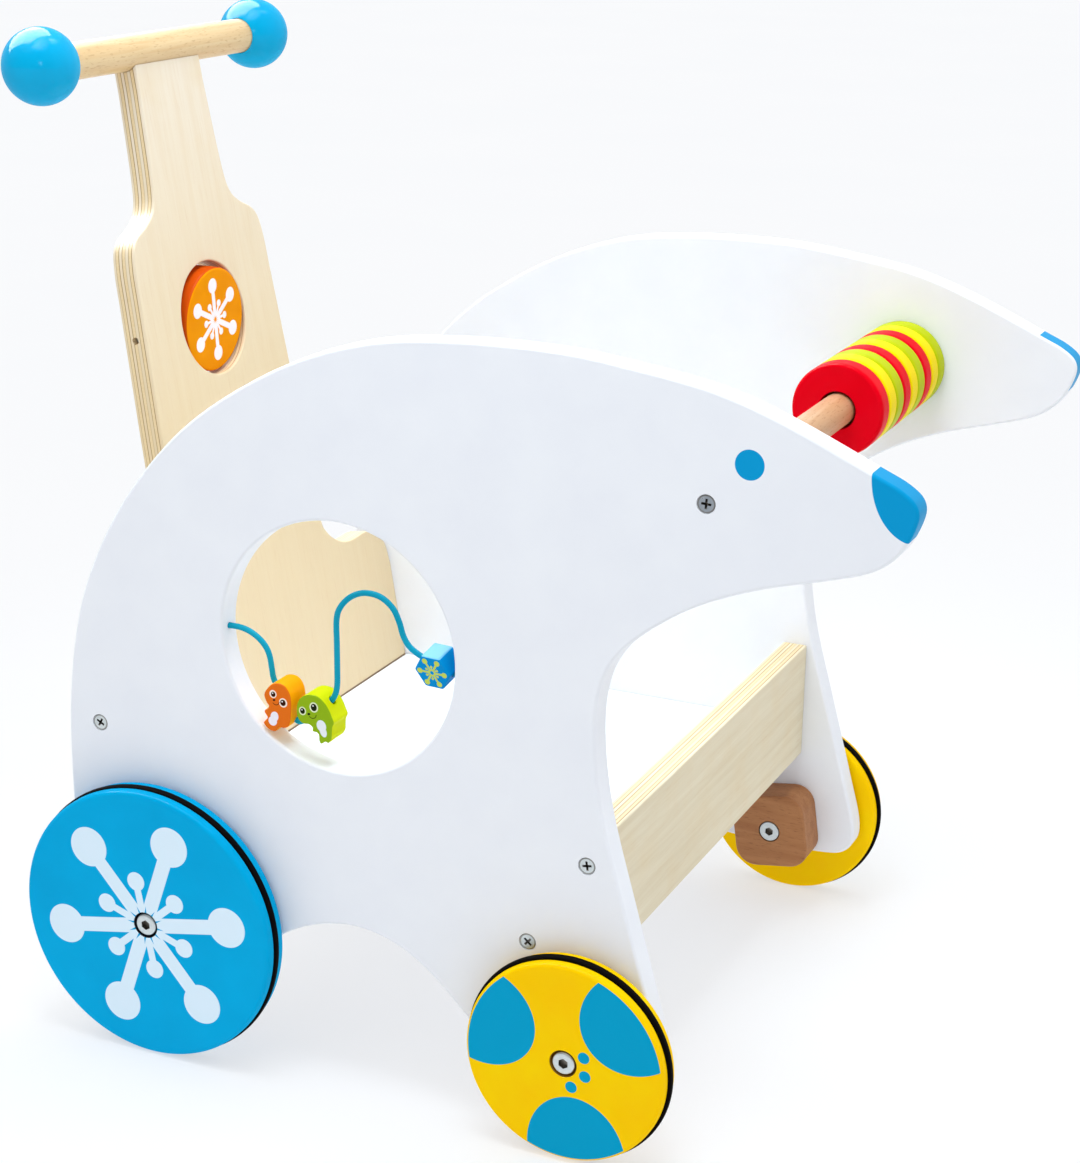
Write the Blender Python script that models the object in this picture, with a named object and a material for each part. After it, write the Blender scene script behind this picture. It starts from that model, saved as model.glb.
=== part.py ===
"""Baby push walker: a bear-sided wooden cart with a handle, four wheels and play pieces."""
import math

import bmesh
import bpy
from mathutils import Matrix, Vector

# Fits
GAP = 0.0003              # between pieces that touch
RUN = 0.00035             # radial play of a piece that turns on another

# Side panels
PANEL_T = 0.0135
PANEL_OUT = 0.1510        # outer face of a panel from the middle plane
PANEL_IN = PANEL_OUT - PANEL_T
PANEL_EDGE = 0.0016       # eased edge
WINDOW_R = 0.0610
WINDOW_X = 0.1001         # from the rear axle
WINDOW_Z = 0.2266

# Wheels
REAR_X = -0.1320          # rear axle in the shared frame
WHEELBASE = 0.2252
REAR_R = 0.0696
FRONT_R = 0.0496
RING_OUT = 0.0015         # rubber stands out of the rim by this
WHEEL_T = 0.0143
WHEEL_OFF = 0.0022        # wheel's inner face from the panel
WHEEL_ROUND = 0.0021
GROOVE_W = 0.0046
GROOVE_D = 0.0020
BOSS_R = 0.0100
WHEEL_STEPS = 32
REAR_Z = REAR_R + RING_OUT
FRONT_Z = FRONT_R + RING_OUT
FRONT_X = REAR_X + WHEELBASE

# Axle hardware
BOLT_R = 0.00295
BOLT_HEAD_R = 0.0054
BOLT_HEAD_T = 0.0040
BOLT_SINK_R = BOLT_HEAD_R + 0.0014
BOLT_SINK_D = 0.0046
SLEEVE_R = BOLT_R + 0.00105
SLEEVE_HEAD_R = SLEEVE_R + 0.0016
SLEEVE_HEAD_T = 0.0021
SLEEVE_SINK_R = SLEEVE_HEAD_R + 0.0006
BLOCK = 0.0420            # side of the square axle block
BLOCK_T = 0.0220
BLOCK_ROUND = 0.0110
FRONT_BLOCK_TURN = math.radians(8.5)

# Boards
PLY_T = 0.0135
BOARD_HALF = PANEL_IN - GAP
BOARD_AHEAD = 0.0028      # board's middle plane ahead of the front axle
FRONT_BOARD_X = FRONT_X + BOARD_AHEAD
FRONT_BOARD_Z0 = REAR_Z + BLOCK / 2 + GAP      # clear of the rear axle blocks
FRONT_BOARD_H = 0.0643

# Handle
POST_LEAN = math.radians(10.0)
POST_BEHIND = 0.0326      # post's middle plane behind the rear axle, at POST_Z
POST_X = REAR_X - POST_BEHIND
POST_Z = 0.1667
POST_FOOT = 0.0734        # from the bottom edge up to that point, along the post
BAR_S = 0.3859            # bar axis along the post from its bottom edge
BAR_R = 0.0090
BAR_HALF = 0.1000
BALL_R = 0.0187
BALL_Y = BAR_HALF - 0.0030

# Tray floor between the front board and the post
TRAY_T = 0.0180
TRAY_Z0 = FRONT_BOARD_Z0
TRAY_FRONT = FRONT_BOARD_X - PLY_T / 2 - GAP
POST_FACE = POST_X + PLY_T / 2 / math.cos(POST_LEAN)
TRAY_BACK = POST_FACE + (POST_Z - TRAY_Z0) * math.tan(POST_LEAN) + GAP
TRAY_SCREW_BEHIND = 0.0218

# Spinner
SPIN_BELOW = 0.1401       # spinner's centre below the bar, along the post
SPIN_S = BAR_S - SPIN_BELOW
SPIN_HOLE_R = 0.0297
SPIN_PLAY = 0.0023
SPIN_R = SPIN_HOLE_R - SPIN_PLAY
SPIN_T = 0.0146
SPIN_TILT = math.radians(10.0)
PIN_R = 0.0016
PIN_TAIL = 0.0308
PIN_TIP = 0.0143
PIN_Y0 = -SPIN_HOLE_R - PIN_TAIL
PIN_Y1 = SPIN_HOLE_R + PIN_TIP

# Bead rod and discs
ROD_AHEAD = 0.0534        # rod ahead of the front axle
ROD_DROP = 0.0576         # rod below the top of the head
ROD_X = FRONT_X + ROD_AHEAD
ROD_R = 0.0082
DISC_COUNT = 9
DISC_R = 0.0231
DISC_T = 0.0121
DISC_STEP = DISC_T + GAP
DISC_BORE = ROD_R + RUN
DISC_EDGE = 0.0020

# Wire maze in the right window
WIRE_R = 0.0014
WIRE_Y = -(PANEL_OUT + PANEL_IN) / 2
WIRE_SEAT = 0.0060
WIRE_END_PLAY = 0.0010
BEAD_T = 0.0140
BLOCK_BEAD_T = 0.0124
BEAD_BORE = 0.0022

# Outline of the bear in millimetres: back and belly from the rear axle, head and front leg
# from the front axle, heights from the ground
BEAR_BACK = (
    (-24, 34), (-41, 40), (-49, 60), (-51, 105), (-50.5, 170), (-42.5, 221), (-27.5, 259), (-6.5, 292),
    (20, 321), (50, 343), (84, 361), (123, 373.2),
)
BEAR_FRONT = (
    (-61.2, 377.7), (-15.2, 378.2), (21.8, 374.5), (55.8, 369), (86.8, 359), (123.8, 343), (136.8, 337),
    (143.4, 331), (143.6, 323), (137.3, 310), (125.8, 300.8), (106.8, 294.3), (77.8, 286), (50.8, 274.5),
    (28.8, 259.8), (13.8, 244.5), (6.8, 227), (5.6, 202), (10.4, 167), (22.8, 122), (34.8, 80),
    (42.1, 51), (38.3, 38), (22.8, 33.8), (-20.2, 34), (-41.2, 37.5), (-57.2, 53),
)
BEAR_BELLY = (
    (148.5, 71.5), (130, 82.5), (110, 86.8), (90, 84), (70, 74.8), (50, 58.5), (30, 39.5), (10, 34),
)
ROD_Z = max(z for _, z in BEAR_FRONT) / 1000 - ROD_DROP

# Panel screws
SCREW_HEAD_R = 0.0040
SCREW_R = 0.0017
SCREW_L = 0.0380
SCREW_SINK = 0.0025
REAR_SCREW = (POST_X, POST_Z)
FRONT_SCREW_UP = 0.0515
TRAY_SCREW_UP = 0.0072
FRONT_SCREW = (FRONT_BOARD_X, FRONT_BOARD_Z0 + FRONT_SCREW_UP)
TRAY_SCREW = (TRAY_FRONT - TRAY_SCREW_BEHIND, TRAY_Z0 + TRAY_SCREW_UP)
ROD_SCREW = (ROD_X, ROD_Z)
SCREWS = (("rear", REAR_SCREW), ("front", FRONT_SCREW), ("tray", TRAY_SCREW), ("rod", ROD_SCREW))

# Half outline of the handle post in millimetres from its middle line: the foot from the bottom
# edge, the head and neck from the bar
POST_FOOT_HALF = ((137.2, 72.5), (133.5, 86.5), (119, 96.5), (92, 97.5), (74, 108), (68.7, 124.5))
POST_NECK_HALF = ((66.5, -199.4), (62.8, -129.4), (61.2, -103.4), (56.5, -91.4), (43.5, -84.4), (36, -77.4),
                  (32.6, -62.4), (29.6, -19.4))

# Wire path from the centre of the window, drawn for a window radius of MAZE_UNITS
MAZE_UNITS = 61.0
WIRE = (
    (-62, 0), (-55, 0), (-49.8, -1.2), (-44.9, -3.9), (-41.2, -7.6), (-39.2, -12), (-38.2, -18),
    (-37.2, -23.2), (-33.7, -29), (-30.2, -34.8), (-26.9, -40.2), (-24.4, -42.2), (-21.4, -41.3),
    (-16, -37), (-10.8, -32.8), (-6.6, -29), (-4, -24.8), (-3, -19.5), (-2.9, -12), (-2.9, 0),
    (-2.9, 11.5), (-1, 18), (4.3, 23.9), (11.6, 27.2), (19.9, 26.7), (26.4, 22.3), (29.8, 16),
    (31.8, 9.8), (35, 5), (40.5, 1.6), (48, -0.9), (55, -3.2), (61.5, -5.3),
)

# Outlines of the beads, drawn to the same scale
ORANGE_BEAD = (
    (-38.8, -28.8), (-36.4, -24.8), (-33.5, -22.4), (-29.8, -21.9), (-26.7, -23.2), (-24.6, -26.6), (-24, -31),
    (-24.3, -36), (-24.8, -40), (-26, -42.9), (-28.4, -44.2), (-30.8, -44.2), (-33.2, -46.6), (-36.6, -46.2),
    (-39.4, -43.6), (-38.6, -42), (-37.3, -40.2), (-38.6, -38.2), (-38.7, -36.9), (-37.2, -35.8),
    (-36.4, -34.2), (-37.6, -32.6),
)
GREEN_BEAD = (
    (-21.1, -33.5), (-20.5, -29.8), (-18.7, -27), (-15.6, -25.1), (-12.2, -24.6), (-9, -25.3), (-6.1, -27.6),
    (-3.8, -30.8), (-2.5, -33.8), (-1.4, -36.6), (-2.3, -38.9), (-2.6, -41.6), (-2.8, -44.6), (-4.3, -47.2),
    (-6, -46.9), (-8.3, -48.3), (-9.3, -46.8), (-9.4, -44.2), (-10.6, -43), (-12.7, -42.8), (-12.8, -41),
    (-14.6, -39.6), (-17.4, -39.8), (-19.5, -38.8), (-20.9, -36.4),
)
BLOCK_BEAD = ((40.6, -1.95), (45.3, 6.19), (54.7, 6.19), (59.4, -1.95), (54.7, -10.09), (45.3, -10.09))
ORANGE_BORE = ((-37.2, -23.2), (-26.9, -40.2))
GREEN_BORE = ((-21.4, -41.3), (-6.6, -29))
BLOCK_BORE = ((40.5, 1.6), (61.5, -5.3))
BLOCK_TURN = math.radians(14.0)

SIDES = (("right", -1), ("left", 1))
AXLES = (("rear", REAR_X, REAR_Z, REAR_R, "wheel_blue"), ("front", FRONT_X, FRONT_Z, FRONT_R, "wheel_yellow"))
DISC_COLOURS = ("red", "yellow", "green")


def clear_scene():
    """Remove whatever the start-up file holds."""
    for ob in list(bpy.data.objects):
        bpy.data.objects.remove(ob, do_unlink=True)


def material(name, colour, roughness, metallic=0.0):
    """A plain Principled material."""
    mat = bpy.data.materials.new(name)
    mat.use_nodes = True
    shader = mat.node_tree.nodes["Principled BSDF"]
    shader.inputs["Base Color"].default_value = (*colour, 1.0)
    shader.inputs["Roughness"].default_value = roughness
    shader.inputs["Metallic"].default_value = metallic
    return mat


def make_materials():
    """One material for each finish on the object."""
    return {
        "white_lacquer": material("white_lacquer", (0.80, 0.83, 0.88), 0.35),
        "plywood": material("plywood", (0.78, 0.65, 0.43), 0.55),
        "dowel_wood": material("dowel_wood", (0.74, 0.57, 0.34), 0.5),
        "brown_block": material("brown_block", (0.30, 0.13, 0.05), 0.6),
        "wheel_blue": material("wheel_blue", (0.0, 0.33, 0.70), 0.3),
        "wheel_yellow": material("wheel_yellow", (0.95, 0.55, 0.0), 0.3),
        "rubber_black": material("rubber_black", (0.02, 0.015, 0.012), 0.7),
        "ball_blue": material("ball_blue", (0.0, 0.40, 0.80), 0.2),
        "spinner_orange": material("spinner_orange", (0.90, 0.28, 0.0), 0.3),
        "zinc_steel": material("zinc_steel", (0.66, 0.68, 0.68), 0.3, 1.0),
        "disc_red": material("disc_red", (0.70, 0.0, 0.01), 0.3),
        "disc_yellow": material("disc_yellow", (0.95, 0.80, 0.0), 0.3),
        "disc_green": material("disc_green", (0.56, 0.62, 0.0), 0.3),
        "wire_blue": material("wire_blue", (0.01, 0.32, 0.45), 0.35),
        "bead_orange": material("bead_orange", (0.80, 0.18, 0.01), 0.35),
        "bead_green": material("bead_green", (0.30, 0.46, 0.01), 0.35),
        "bead_blue": material("bead_blue", (0.0, 0.28, 0.66), 0.35),
    }


def add_object(name, bm, mat, pivot=(0.0, 0.0, 0.0)):
    """Turn a bmesh built in the shared frame into a named object with its origin at the pivot."""
    bmesh.ops.translate(bm, verts=bm.verts[:], vec=-Vector(pivot))
    bmesh.ops.recalc_face_normals(bm, faces=bm.faces[:])
    mesh = bpy.data.meshes.new(name)
    bm.to_mesh(mesh)
    bm.free()
    ob = bpy.data.objects.new(name, mesh)
    bpy.context.collection.objects.link(ob)
    ob.location = pivot
    if mat is not None:
        mesh.materials.append(mat)
    return ob


def settle(ob):
    """Apply the modifiers of an object."""
    bpy.context.view_layer.update()
    deps = bpy.context.evaluated_depsgraph_get()
    mesh = bpy.data.meshes.new_from_object(ob.evaluated_get(deps))
    ob.modifiers.clear()
    ob.data = mesh


def cut(ob, bm):
    """Take the volume of a bmesh out of an object."""
    tool = add_object(ob.name + "_tool", bm, None)
    mod = ob.modifiers.new("cut", "BOOLEAN")
    mod.operation = "DIFFERENCE"
    mod.solver = "EXACT"
    mod.object = tool
    settle(ob)
    bpy.data.objects.remove(tool, do_unlink=True)


def ease(ob, width, segments=1, limit=50.0):
    """Break the sharp edges of an object."""
    mod = ob.modifiers.new("ease", "BEVEL")
    mod.width = width
    mod.segments = segments
    mod.limit_method = "ANGLE"
    mod.angle_limit = math.radians(limit)
    mod.use_clamp_overlap = True
    settle(ob)


def smooth(ob, angle=40.0):
    """Shade the round faces smooth and keep the edges sharp."""
    mesh = ob.data
    for poly in mesh.polygons:
        poly.use_smooth = True
    mesh.set_sharp_from_angle(angle=math.radians(angle))


def spline(points, steps):
    """Closed smooth curve through points, as a list of 2-D vectors."""
    pts = [Vector(p) for p in points]
    out = []
    count = len(pts)
    for i in range(count):
        p0, p1, p2, p3 = pts[i - 1], pts[i], pts[(i + 1) % count], pts[(i + 2) % count]
        for k in range(steps):
            t = k / steps
            out.append(0.5 * (2 * p1 + (p2 - p0) * t + (2 * p0 - 5 * p1 + 4 * p2 - p3) * t ** 2
                              + (3 * p1 - p0 - 3 * p2 + p3) * t ** 3))
    return out


def open_spline(points, steps):
    """Open smooth curve through points."""
    pts = [Vector(p) for p in points]
    ends = [2 * pts[0] - pts[1]] + pts + [2 * pts[-1] - pts[-2]]
    out = []
    for i in range(1, len(ends) - 2):
        p0, p1, p2, p3 = ends[i - 1], ends[i], ends[i + 1], ends[i + 2]
        for k in range(steps):
            t = k / steps
            out.append(0.5 * (2 * p1 + (p2 - p0) * t + (2 * p0 - 5 * p1 + 4 * p2 - p3) * t ** 2
                              + (3 * p1 - p0 - 3 * p2 + p3) * t ** 3))
    out.append(pts[-1])
    return out


def slab(outline, y0, y1):
    """Extrude an outline of (x, z) pairs from y0 to y1."""
    bm = bmesh.new()
    ring = [bm.verts.new((x, y0, z)) for x, z in outline]
    face = bm.faces.new(ring)
    made = bmesh.ops.extrude_face_region(bm, geom=[face])
    moved = [v for v in made["geom"] if isinstance(v, bmesh.types.BMVert)]
    bmesh.ops.translate(bm, verts=moved, vec=(0.0, y1 - y0, 0.0))
    return bm


def turned(profile, steps, closed=False):
    """Spin a profile of (along, radius) pairs about the Y axis."""
    bm = bmesh.new()
    verts = [bm.verts.new((max(r, 0.0), a, 0.0)) for a, r in profile]
    edges = [bm.edges.new((verts[i], verts[i + 1])) for i in range(len(verts) - 1)]
    if closed:
        edges.append(bm.edges.new((verts[-1], verts[0])))
    bmesh.ops.spin(bm, geom=verts + edges, cent=(0, 0, 0), axis=(0, 1, 0), dvec=(0, 0, 0),
                   angle=2 * math.pi, steps=steps, use_merge=True, use_duplicate=False)
    bmesh.ops.remove_doubles(bm, verts=bm.verts[:], dist=1e-6)
    bmesh.ops.recalc_face_normals(bm, faces=bm.faces[:])
    return bm


def place(bm, vec):
    """Move a bmesh."""
    bmesh.ops.translate(bm, verts=bm.verts[:], vec=vec)
    return bm


def rod_between(a, b, radius, steps):
    """Cylinder from one point to another."""
    a, b = Vector(a), Vector(b)
    bm = turned(((0.0, 0.0), (0.0, radius), ((b - a).length, radius), ((b - a).length, 0.0)), steps)
    turn = Vector((0, 1, 0)).rotation_difference(b - a).to_matrix().to_4x4()
    bmesh.ops.transform(bm, matrix=Matrix.Translation(a) @ turn, verts=bm.verts[:])
    return bm


def merge(parts):
    """Gather several bmeshes into one."""
    out = bmesh.new()
    for bm in parts:
        mesh = bpy.data.meshes.new("gather")
        bm.to_mesh(mesh)
        bm.free()
        out.from_mesh(mesh)
        bpy.data.meshes.remove(mesh)
    return out


def box(x0, x1, y0, y1, z0, z1):
    """Plain block between limits."""
    return slab(((x0, z0), (x1, z0), (x1, z1), (x0, z1)), y0, y1)


def post_point(s, off=0.0):
    """Point of the post's middle line at a distance along it, moved off its middle plane."""
    up = Vector((-math.sin(POST_LEAN), 0.0, math.cos(POST_LEAN)))
    out = Vector((math.cos(POST_LEAN), 0.0, math.sin(POST_LEAN)))
    return Vector((POST_X, 0.0, POST_Z)) + up * (s - POST_FOOT) + out * off


def post_matrix():
    """From (thickness, across, along) to the shared frame."""
    return Matrix.Translation(post_point(0.0)) @ Matrix.Rotation(-POST_LEAN, 4, "Y")


def window_xz(point):
    """From the drawing of the window and its maze to the shared frame."""
    unit = WINDOW_R / MAZE_UNITS
    return REAR_X + WINDOW_X + point[0] * unit, WINDOW_Z + point[1] * unit


def bear_outline():
    """Points of the side panel in the shared frame."""
    points = []
    for part, x in ((BEAR_BACK, REAR_X), (BEAR_FRONT, FRONT_X), (BEAR_BELLY, REAR_X)):
        points += [(x + u / 1000, v / 1000) for u, v in part]
    return spline(points, 2)


def screw_sink(side, x, z):
    """Countersunk hole through a panel."""
    far = 0.001
    top = SCREW_HEAD_R + GAP
    low = SCREW_R + GAP
    profile = [(PANEL_OUT + far, 0.0), (PANEL_OUT + far, top), (PANEL_OUT - 0.0006, top),
               (PANEL_OUT - 0.0006 - SCREW_SINK, low), (PANEL_IN - far, low), (PANEL_IN - far, 0.0)]
    bm = turned([(side * a, r) for a, r in profile], 8)
    return place(bm, (x, 0.0, z))


def pilot(side, x, z):
    """Hole for a panel screw in the end of a cross piece."""
    end = PANEL_OUT - SCREW_L - 0.005
    return rod_between((x, side * (PANEL_IN + 0.002), z), (x, side * end, z), SCREW_R + GAP, 8)


def make_panel(name, side, mats):
    """White side panel with its window, axle bores and screw holes."""
    ob = add_object(name, slab(bear_outline(), side * PANEL_IN, side * PANEL_OUT), mats["white_lacquer"])
    cx, cz = window_xz((0, 0))
    cut(ob, rod_between((cx, -0.2, cz), (cx, 0.2, cz), WINDOW_R, 44))
    ease(ob, PANEL_EDGE)
    holes = [screw_sink(side, x, z) for _, (x, z) in SCREWS]
    for _, x, z, _, _ in AXLES:
        holes.append(rod_between((x, side * 0.12, z), (x, side * 0.18, z), SLEEVE_R + GAP, 12))
    cut(ob, merge(holes))
    if side < 0:
        cut(ob, merge(wire_seats()))
    smooth(ob)
    return ob


def wire_seats():
    """Holes in the rim of the window that hold the ends of the wire."""
    pts = [Vector((x, WIRE_Y, z)) for x, z in map(window_xz, WIRE)]
    seats = []
    for end, nxt in ((pts[0], pts[1]), (pts[-1], pts[-2])):
        way = (end - nxt).normalized()
        seats.append(rod_between(end - way * 0.004, end + way * WIRE_SEAT, WIRE_R + GAP, 8))
    return seats


def make_post(mats):
    """Handle post with its saddle, spinner hole, pin bore and screw pilots."""
    points = [(y / 1000, s / 1000) for y, s in POST_FOOT_HALF]
    points += [(y / 1000, BAR_S + s / 1000) for y, s in POST_NECK_HALF]
    half = open_spline(points, 2)
    top = BAR_S - BAR_R * 0.45
    right = [Vector((BOARD_HALF, 0.0))] + half + [Vector((0.0294, top))]
    right[1].x = BOARD_HALF
    outline = right + [Vector((-p.x, p.y)) for p in reversed(right)]
    bm = bmesh.new()
    ring = [bm.verts.new((-PLY_T / 2, p.x, p.y)) for p in outline]
    made = bmesh.ops.extrude_face_region(bm, geom=[bm.faces.new(ring)])
    moved = [v for v in made["geom"] if isinstance(v, bmesh.types.BMVert)]
    bmesh.ops.translate(bm, verts=moved, vec=(PLY_T, 0.0, 0.0))
    bmesh.ops.transform(bm, matrix=post_matrix(), verts=bm.verts[:])
    ob = add_object("handle_post", bm, mats["plywood"])
    mid = post_point(SPIN_S)
    cut(ob, rod_between(post_point(SPIN_S, -0.05), post_point(SPIN_S, 0.05), SPIN_HOLE_R, 40))
    ease(ob, 0.0009)
    bar = post_point(BAR_S)
    cut(ob, rod_between(bar + Vector((0, -0.06, 0)), bar + Vector((0, 0.06, 0)), BAR_R + GAP, 24))
    pin = rod_between((mid.x, -0.09, mid.z), (mid.x, PIN_Y1 + GAP, mid.z), PIN_R + GAP, 12)
    screws = [pilot(side, *REAR_SCREW) for _, side in SIDES]
    cut(ob, merge([pin] + screws))
    smooth(ob)
    return ob


def make_boards(mats):
    """Front board, and the tray floor whose back edge follows the lean of the post."""
    x0 = FRONT_BOARD_X - PLY_T / 2
    front = add_object("front_board", box(x0, x0 + PLY_T, -BOARD_HALF, BOARD_HALF, FRONT_BOARD_Z0,
                                          FRONT_BOARD_Z0 + FRONT_BOARD_H), mats["plywood"])
    ease(front, 0.0008)
    cut(front, merge([pilot(side, *FRONT_SCREW) for _, side in SIDES]))
    top = TRAY_Z0 + TRAY_T
    sides = ((TRAY_BACK, TRAY_Z0), (TRAY_FRONT, TRAY_Z0), (TRAY_FRONT, top),
             (TRAY_BACK - TRAY_T * math.tan(POST_LEAN), top))
    tray = add_object("tray_floor", slab(sides, -BOARD_HALF, BOARD_HALF), mats["white_lacquer"])
    ease(tray, 0.0008)
    cut(tray, merge([pilot(side, *TRAY_SCREW) for _, side in SIDES]))


def make_handle(mats):
    """Handle bar and the balls on its ends."""
    axis = post_point(BAR_S)
    bar = place(turned(((-BAR_HALF, 0.0), (-BAR_HALF, BAR_R), (BAR_HALF, BAR_R), (BAR_HALF, 0.0)), 24), axis)
    smooth(add_object("handle_bar", bar, mats["dowel_wood"]))
    lip = BAR_R + GAP
    start = math.asin(lip / BALL_R)
    count = 8
    for name, side in SIDES:
        profile = [(BALL_R * math.cos(math.pi * k / count * (1 - start / math.pi)),
                    BALL_R * math.sin(math.pi * k / count * (1 - start / math.pi))) for k in range(count + 1)]
        profile += [(BAR_HALF - BALL_Y + GAP, lip), (BAR_HALF - BALL_Y + GAP, 0.0)]
        bm = turned([(side * a, r) for a, r in profile], 18)
        place(bm, axis + Vector((0.0, side * BALL_Y, 0.0)))
        smooth(add_object(name + "_handle_ball", bm, mats["ball_blue"]))


def make_spinner(mats):
    """Turning disc and its cross pin."""
    mid = post_point(SPIN_S)
    half, edge = SPIN_T / 2, 0.0018
    profile = ((-half, 0.0), (-half, SPIN_R - edge), (-half + edge, SPIN_R), (half - edge, SPIN_R),
               (half, SPIN_R - edge), (half, 0.0))
    bm = turned(profile, 30)
    turn = Matrix.Rotation(SPIN_TILT - POST_LEAN, 4, "Y") @ Matrix.Rotation(-math.pi / 2, 4, "Z")
    bmesh.ops.transform(bm, matrix=Matrix.Translation(mid) @ turn, verts=bm.verts[:])
    ob = add_object("spinner_disc", bm, mats["spinner_orange"], mid)
    cut(ob, rod_between((mid.x, -0.05, mid.z), (mid.x, 0.05, mid.z), PIN_R + RUN, 12))
    smooth(ob)
    pin = rod_between((mid.x, PIN_Y0, mid.z), (mid.x, PIN_Y1, mid.z), PIN_R, 12)
    smooth(add_object("spinner_pin", pin, mats["zinc_steel"]))


def make_wheel(name, side, x, z, radius, mat, mats):
    """Wheel with its groove, hub boss and bores, and the rubber ring in the groove."""
    face = PANEL_OUT + WHEEL_OFF + WHEEL_T
    e = WHEEL_ROUND
    g0 = (WHEEL_T - GROOVE_W) / 2
    g1 = g0 + GROOVE_W
    deep = WHEEL_T + WHEEL_OFF - GAP
    profile = ((0.0, 0.0), (0.0, radius - e), (e * 0.3, radius - e * 0.3), (e, radius), (g0, radius),
               (g0, radius - GROOVE_D), (g1, radius - GROOVE_D), (g1, radius), (WHEEL_T - e, radius),
               (WHEEL_T, radius - e), (WHEEL_T, BOSS_R), (deep, BOSS_R), (deep, 0.0))
    pivot = (x, side * (PANEL_OUT + WHEEL_OFF + WHEEL_T / 2), z)
    bm = place(turned([(side * (face - a), r) for a, r in profile], WHEEL_STEPS), (x, 0.0, z))
    ob = add_object(name + "_wheel", bm, mats[mat], pivot)
    sink = rod_between((x, side * (face + 0.002), z), (x, side * (face - BOLT_SINK_D), z), BOLT_SINK_R, 16)
    bore = rod_between((x, side * 0.12, z), (x, side * 0.19, z), BOLT_R + RUN, 12)
    cut(ob, sink)
    cut(ob, bore)
    smooth(ob)
    inner = radius - GROOVE_D + GAP
    a0, a1 = g0 + GAP, g1 - GAP
    a_in = (a1 - a0) / 4
    section = ((a0, inner), (a0, radius), (a0 + a_in, radius + RING_OUT), (a1 - a_in, radius + RING_OUT),
               (a1, radius), (a1, inner))
    bm = place(turned([(side * (face - a), r) for a, r in section], WHEEL_STEPS, True), (x, 0.0, z))
    smooth(add_object(name + "_tyre", bm, mats["rubber_black"], pivot))


def hex_socket(x, y0, y1, z, radius):
    """Six-sided key hole."""
    return rod_between((x, y0, z), (x, y1, z), radius, 6)


def make_axle(name, side, x, z, turn, mats):
    """Axle bolt, sleeve nut and the block the nut sits in."""
    face = PANEL_OUT + WHEEL_OFF + WHEEL_T
    seat = face - BOLT_SINK_D + GAP
    inner = PANEL_IN - GAP - BLOCK_T
    tip = inner + 0.0080
    profile = ((seat + BOLT_HEAD_T, 0.0), (seat + BOLT_HEAD_T, BOLT_HEAD_R * 0.72),
               (seat + BOLT_HEAD_T * 0.7, BOLT_HEAD_R), (seat, BOLT_HEAD_R), (seat, BOLT_R),
               (tip, BOLT_R), (tip, 0.0))
    bolt = add_object(name + "_axle_bolt", place(turned([(side * a, r) for a, r in profile], 12), (x, 0.0, z)),
                      mats["zinc_steel"])
    top = side * (seat + BOLT_HEAD_T)
    cut(bolt, hex_socket(x, top + side * 0.001, top - side * 0.0022, z, 0.0026))
    smooth(bolt)
    bore = BOLT_R + GAP
    end = PANEL_OUT - 0.0015
    profile = ((inner, 0.0), (inner, SLEEVE_HEAD_R - 0.0006), (inner + 0.0006, SLEEVE_HEAD_R),
               (inner + SLEEVE_HEAD_T, SLEEVE_HEAD_R), (inner + SLEEVE_HEAD_T, SLEEVE_R), (end, SLEEVE_R),
               (end, bore), (tip - 0.0005, bore), (tip - 0.0005, 0.0))
    nut = add_object(name + "_axle_nut", place(turned([(side * a, r) for a, r in profile], 10), (x, 0.0, z)),
                     mats["zinc_steel"])
    cut(nut, hex_socket(x, side * (inner - 0.001), side * (inner + 0.0030), z, 0.0025))
    smooth(nut)
    half, cnr = BLOCK / 2, BLOCK_ROUND
    outline = []
    for k, (sx, sz) in enumerate(((1, 1), (-1, 1), (-1, -1), (1, -1))):
        for j in range(4):
            ang = math.pi / 2 * (k + j / 3)
            u = sx * (half - cnr) + cnr * math.cos(ang)
            v = sz * (half - cnr) + cnr * math.sin(ang)
            outline.append((x + u * math.cos(turn) - v * math.sin(turn), z + u * math.sin(turn) + v * math.cos(turn)))
    block = add_object(name + "_axle_block", slab(outline, side * inner, side * (inner + BLOCK_T)), mats["brown_block"])
    ease(block, 0.0012)
    hole = rod_between((x, side * (inner - 0.01), z), (x, side * (PANEL_IN + 0.01), z), SLEEVE_R + GAP, 12)
    sink = rod_between((x, side * (inner - 0.01), z), (x, side * (inner + SLEEVE_HEAD_T + GAP), z), SLEEVE_SINK_R, 12)
    cut(block, hole)
    cut(block, sink)
    smooth(block)


def make_screw(name, side, x, z, mats):
    """Countersunk cross-head screw that holds a panel to a cross piece."""
    top = PANEL_OUT - 0.0003
    neck = top - 0.0004 - SCREW_SINK
    profile = ((top, 0.0), (top, SCREW_HEAD_R), (top - 0.0004, SCREW_HEAD_R), (neck, SCREW_R),
               (top - SCREW_L + 0.003, SCREW_R), (top - SCREW_L, 0.0))
    ob = add_object(name, place(turned([(side * a, r) for a, r in profile], 8), (x, 0.0, z)), mats["zinc_steel"])
    arm, wide, deep = 0.0023, 0.00055, 0.0016
    y0, y1 = sorted((side * (top + 0.001), side * (top - deep)))
    cross = ((wide, wide), (wide, arm), (-wide, arm), (-wide, wide), (-arm, wide), (-arm, -wide),
             (-wide, -wide), (-wide, -arm), (wide, -arm), (wide, -wide), (arm, -wide), (arm, wide))
    cut(ob, slab([(x + u, z + v) for u, v in cross], y0, y1))
    smooth(ob)


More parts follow.
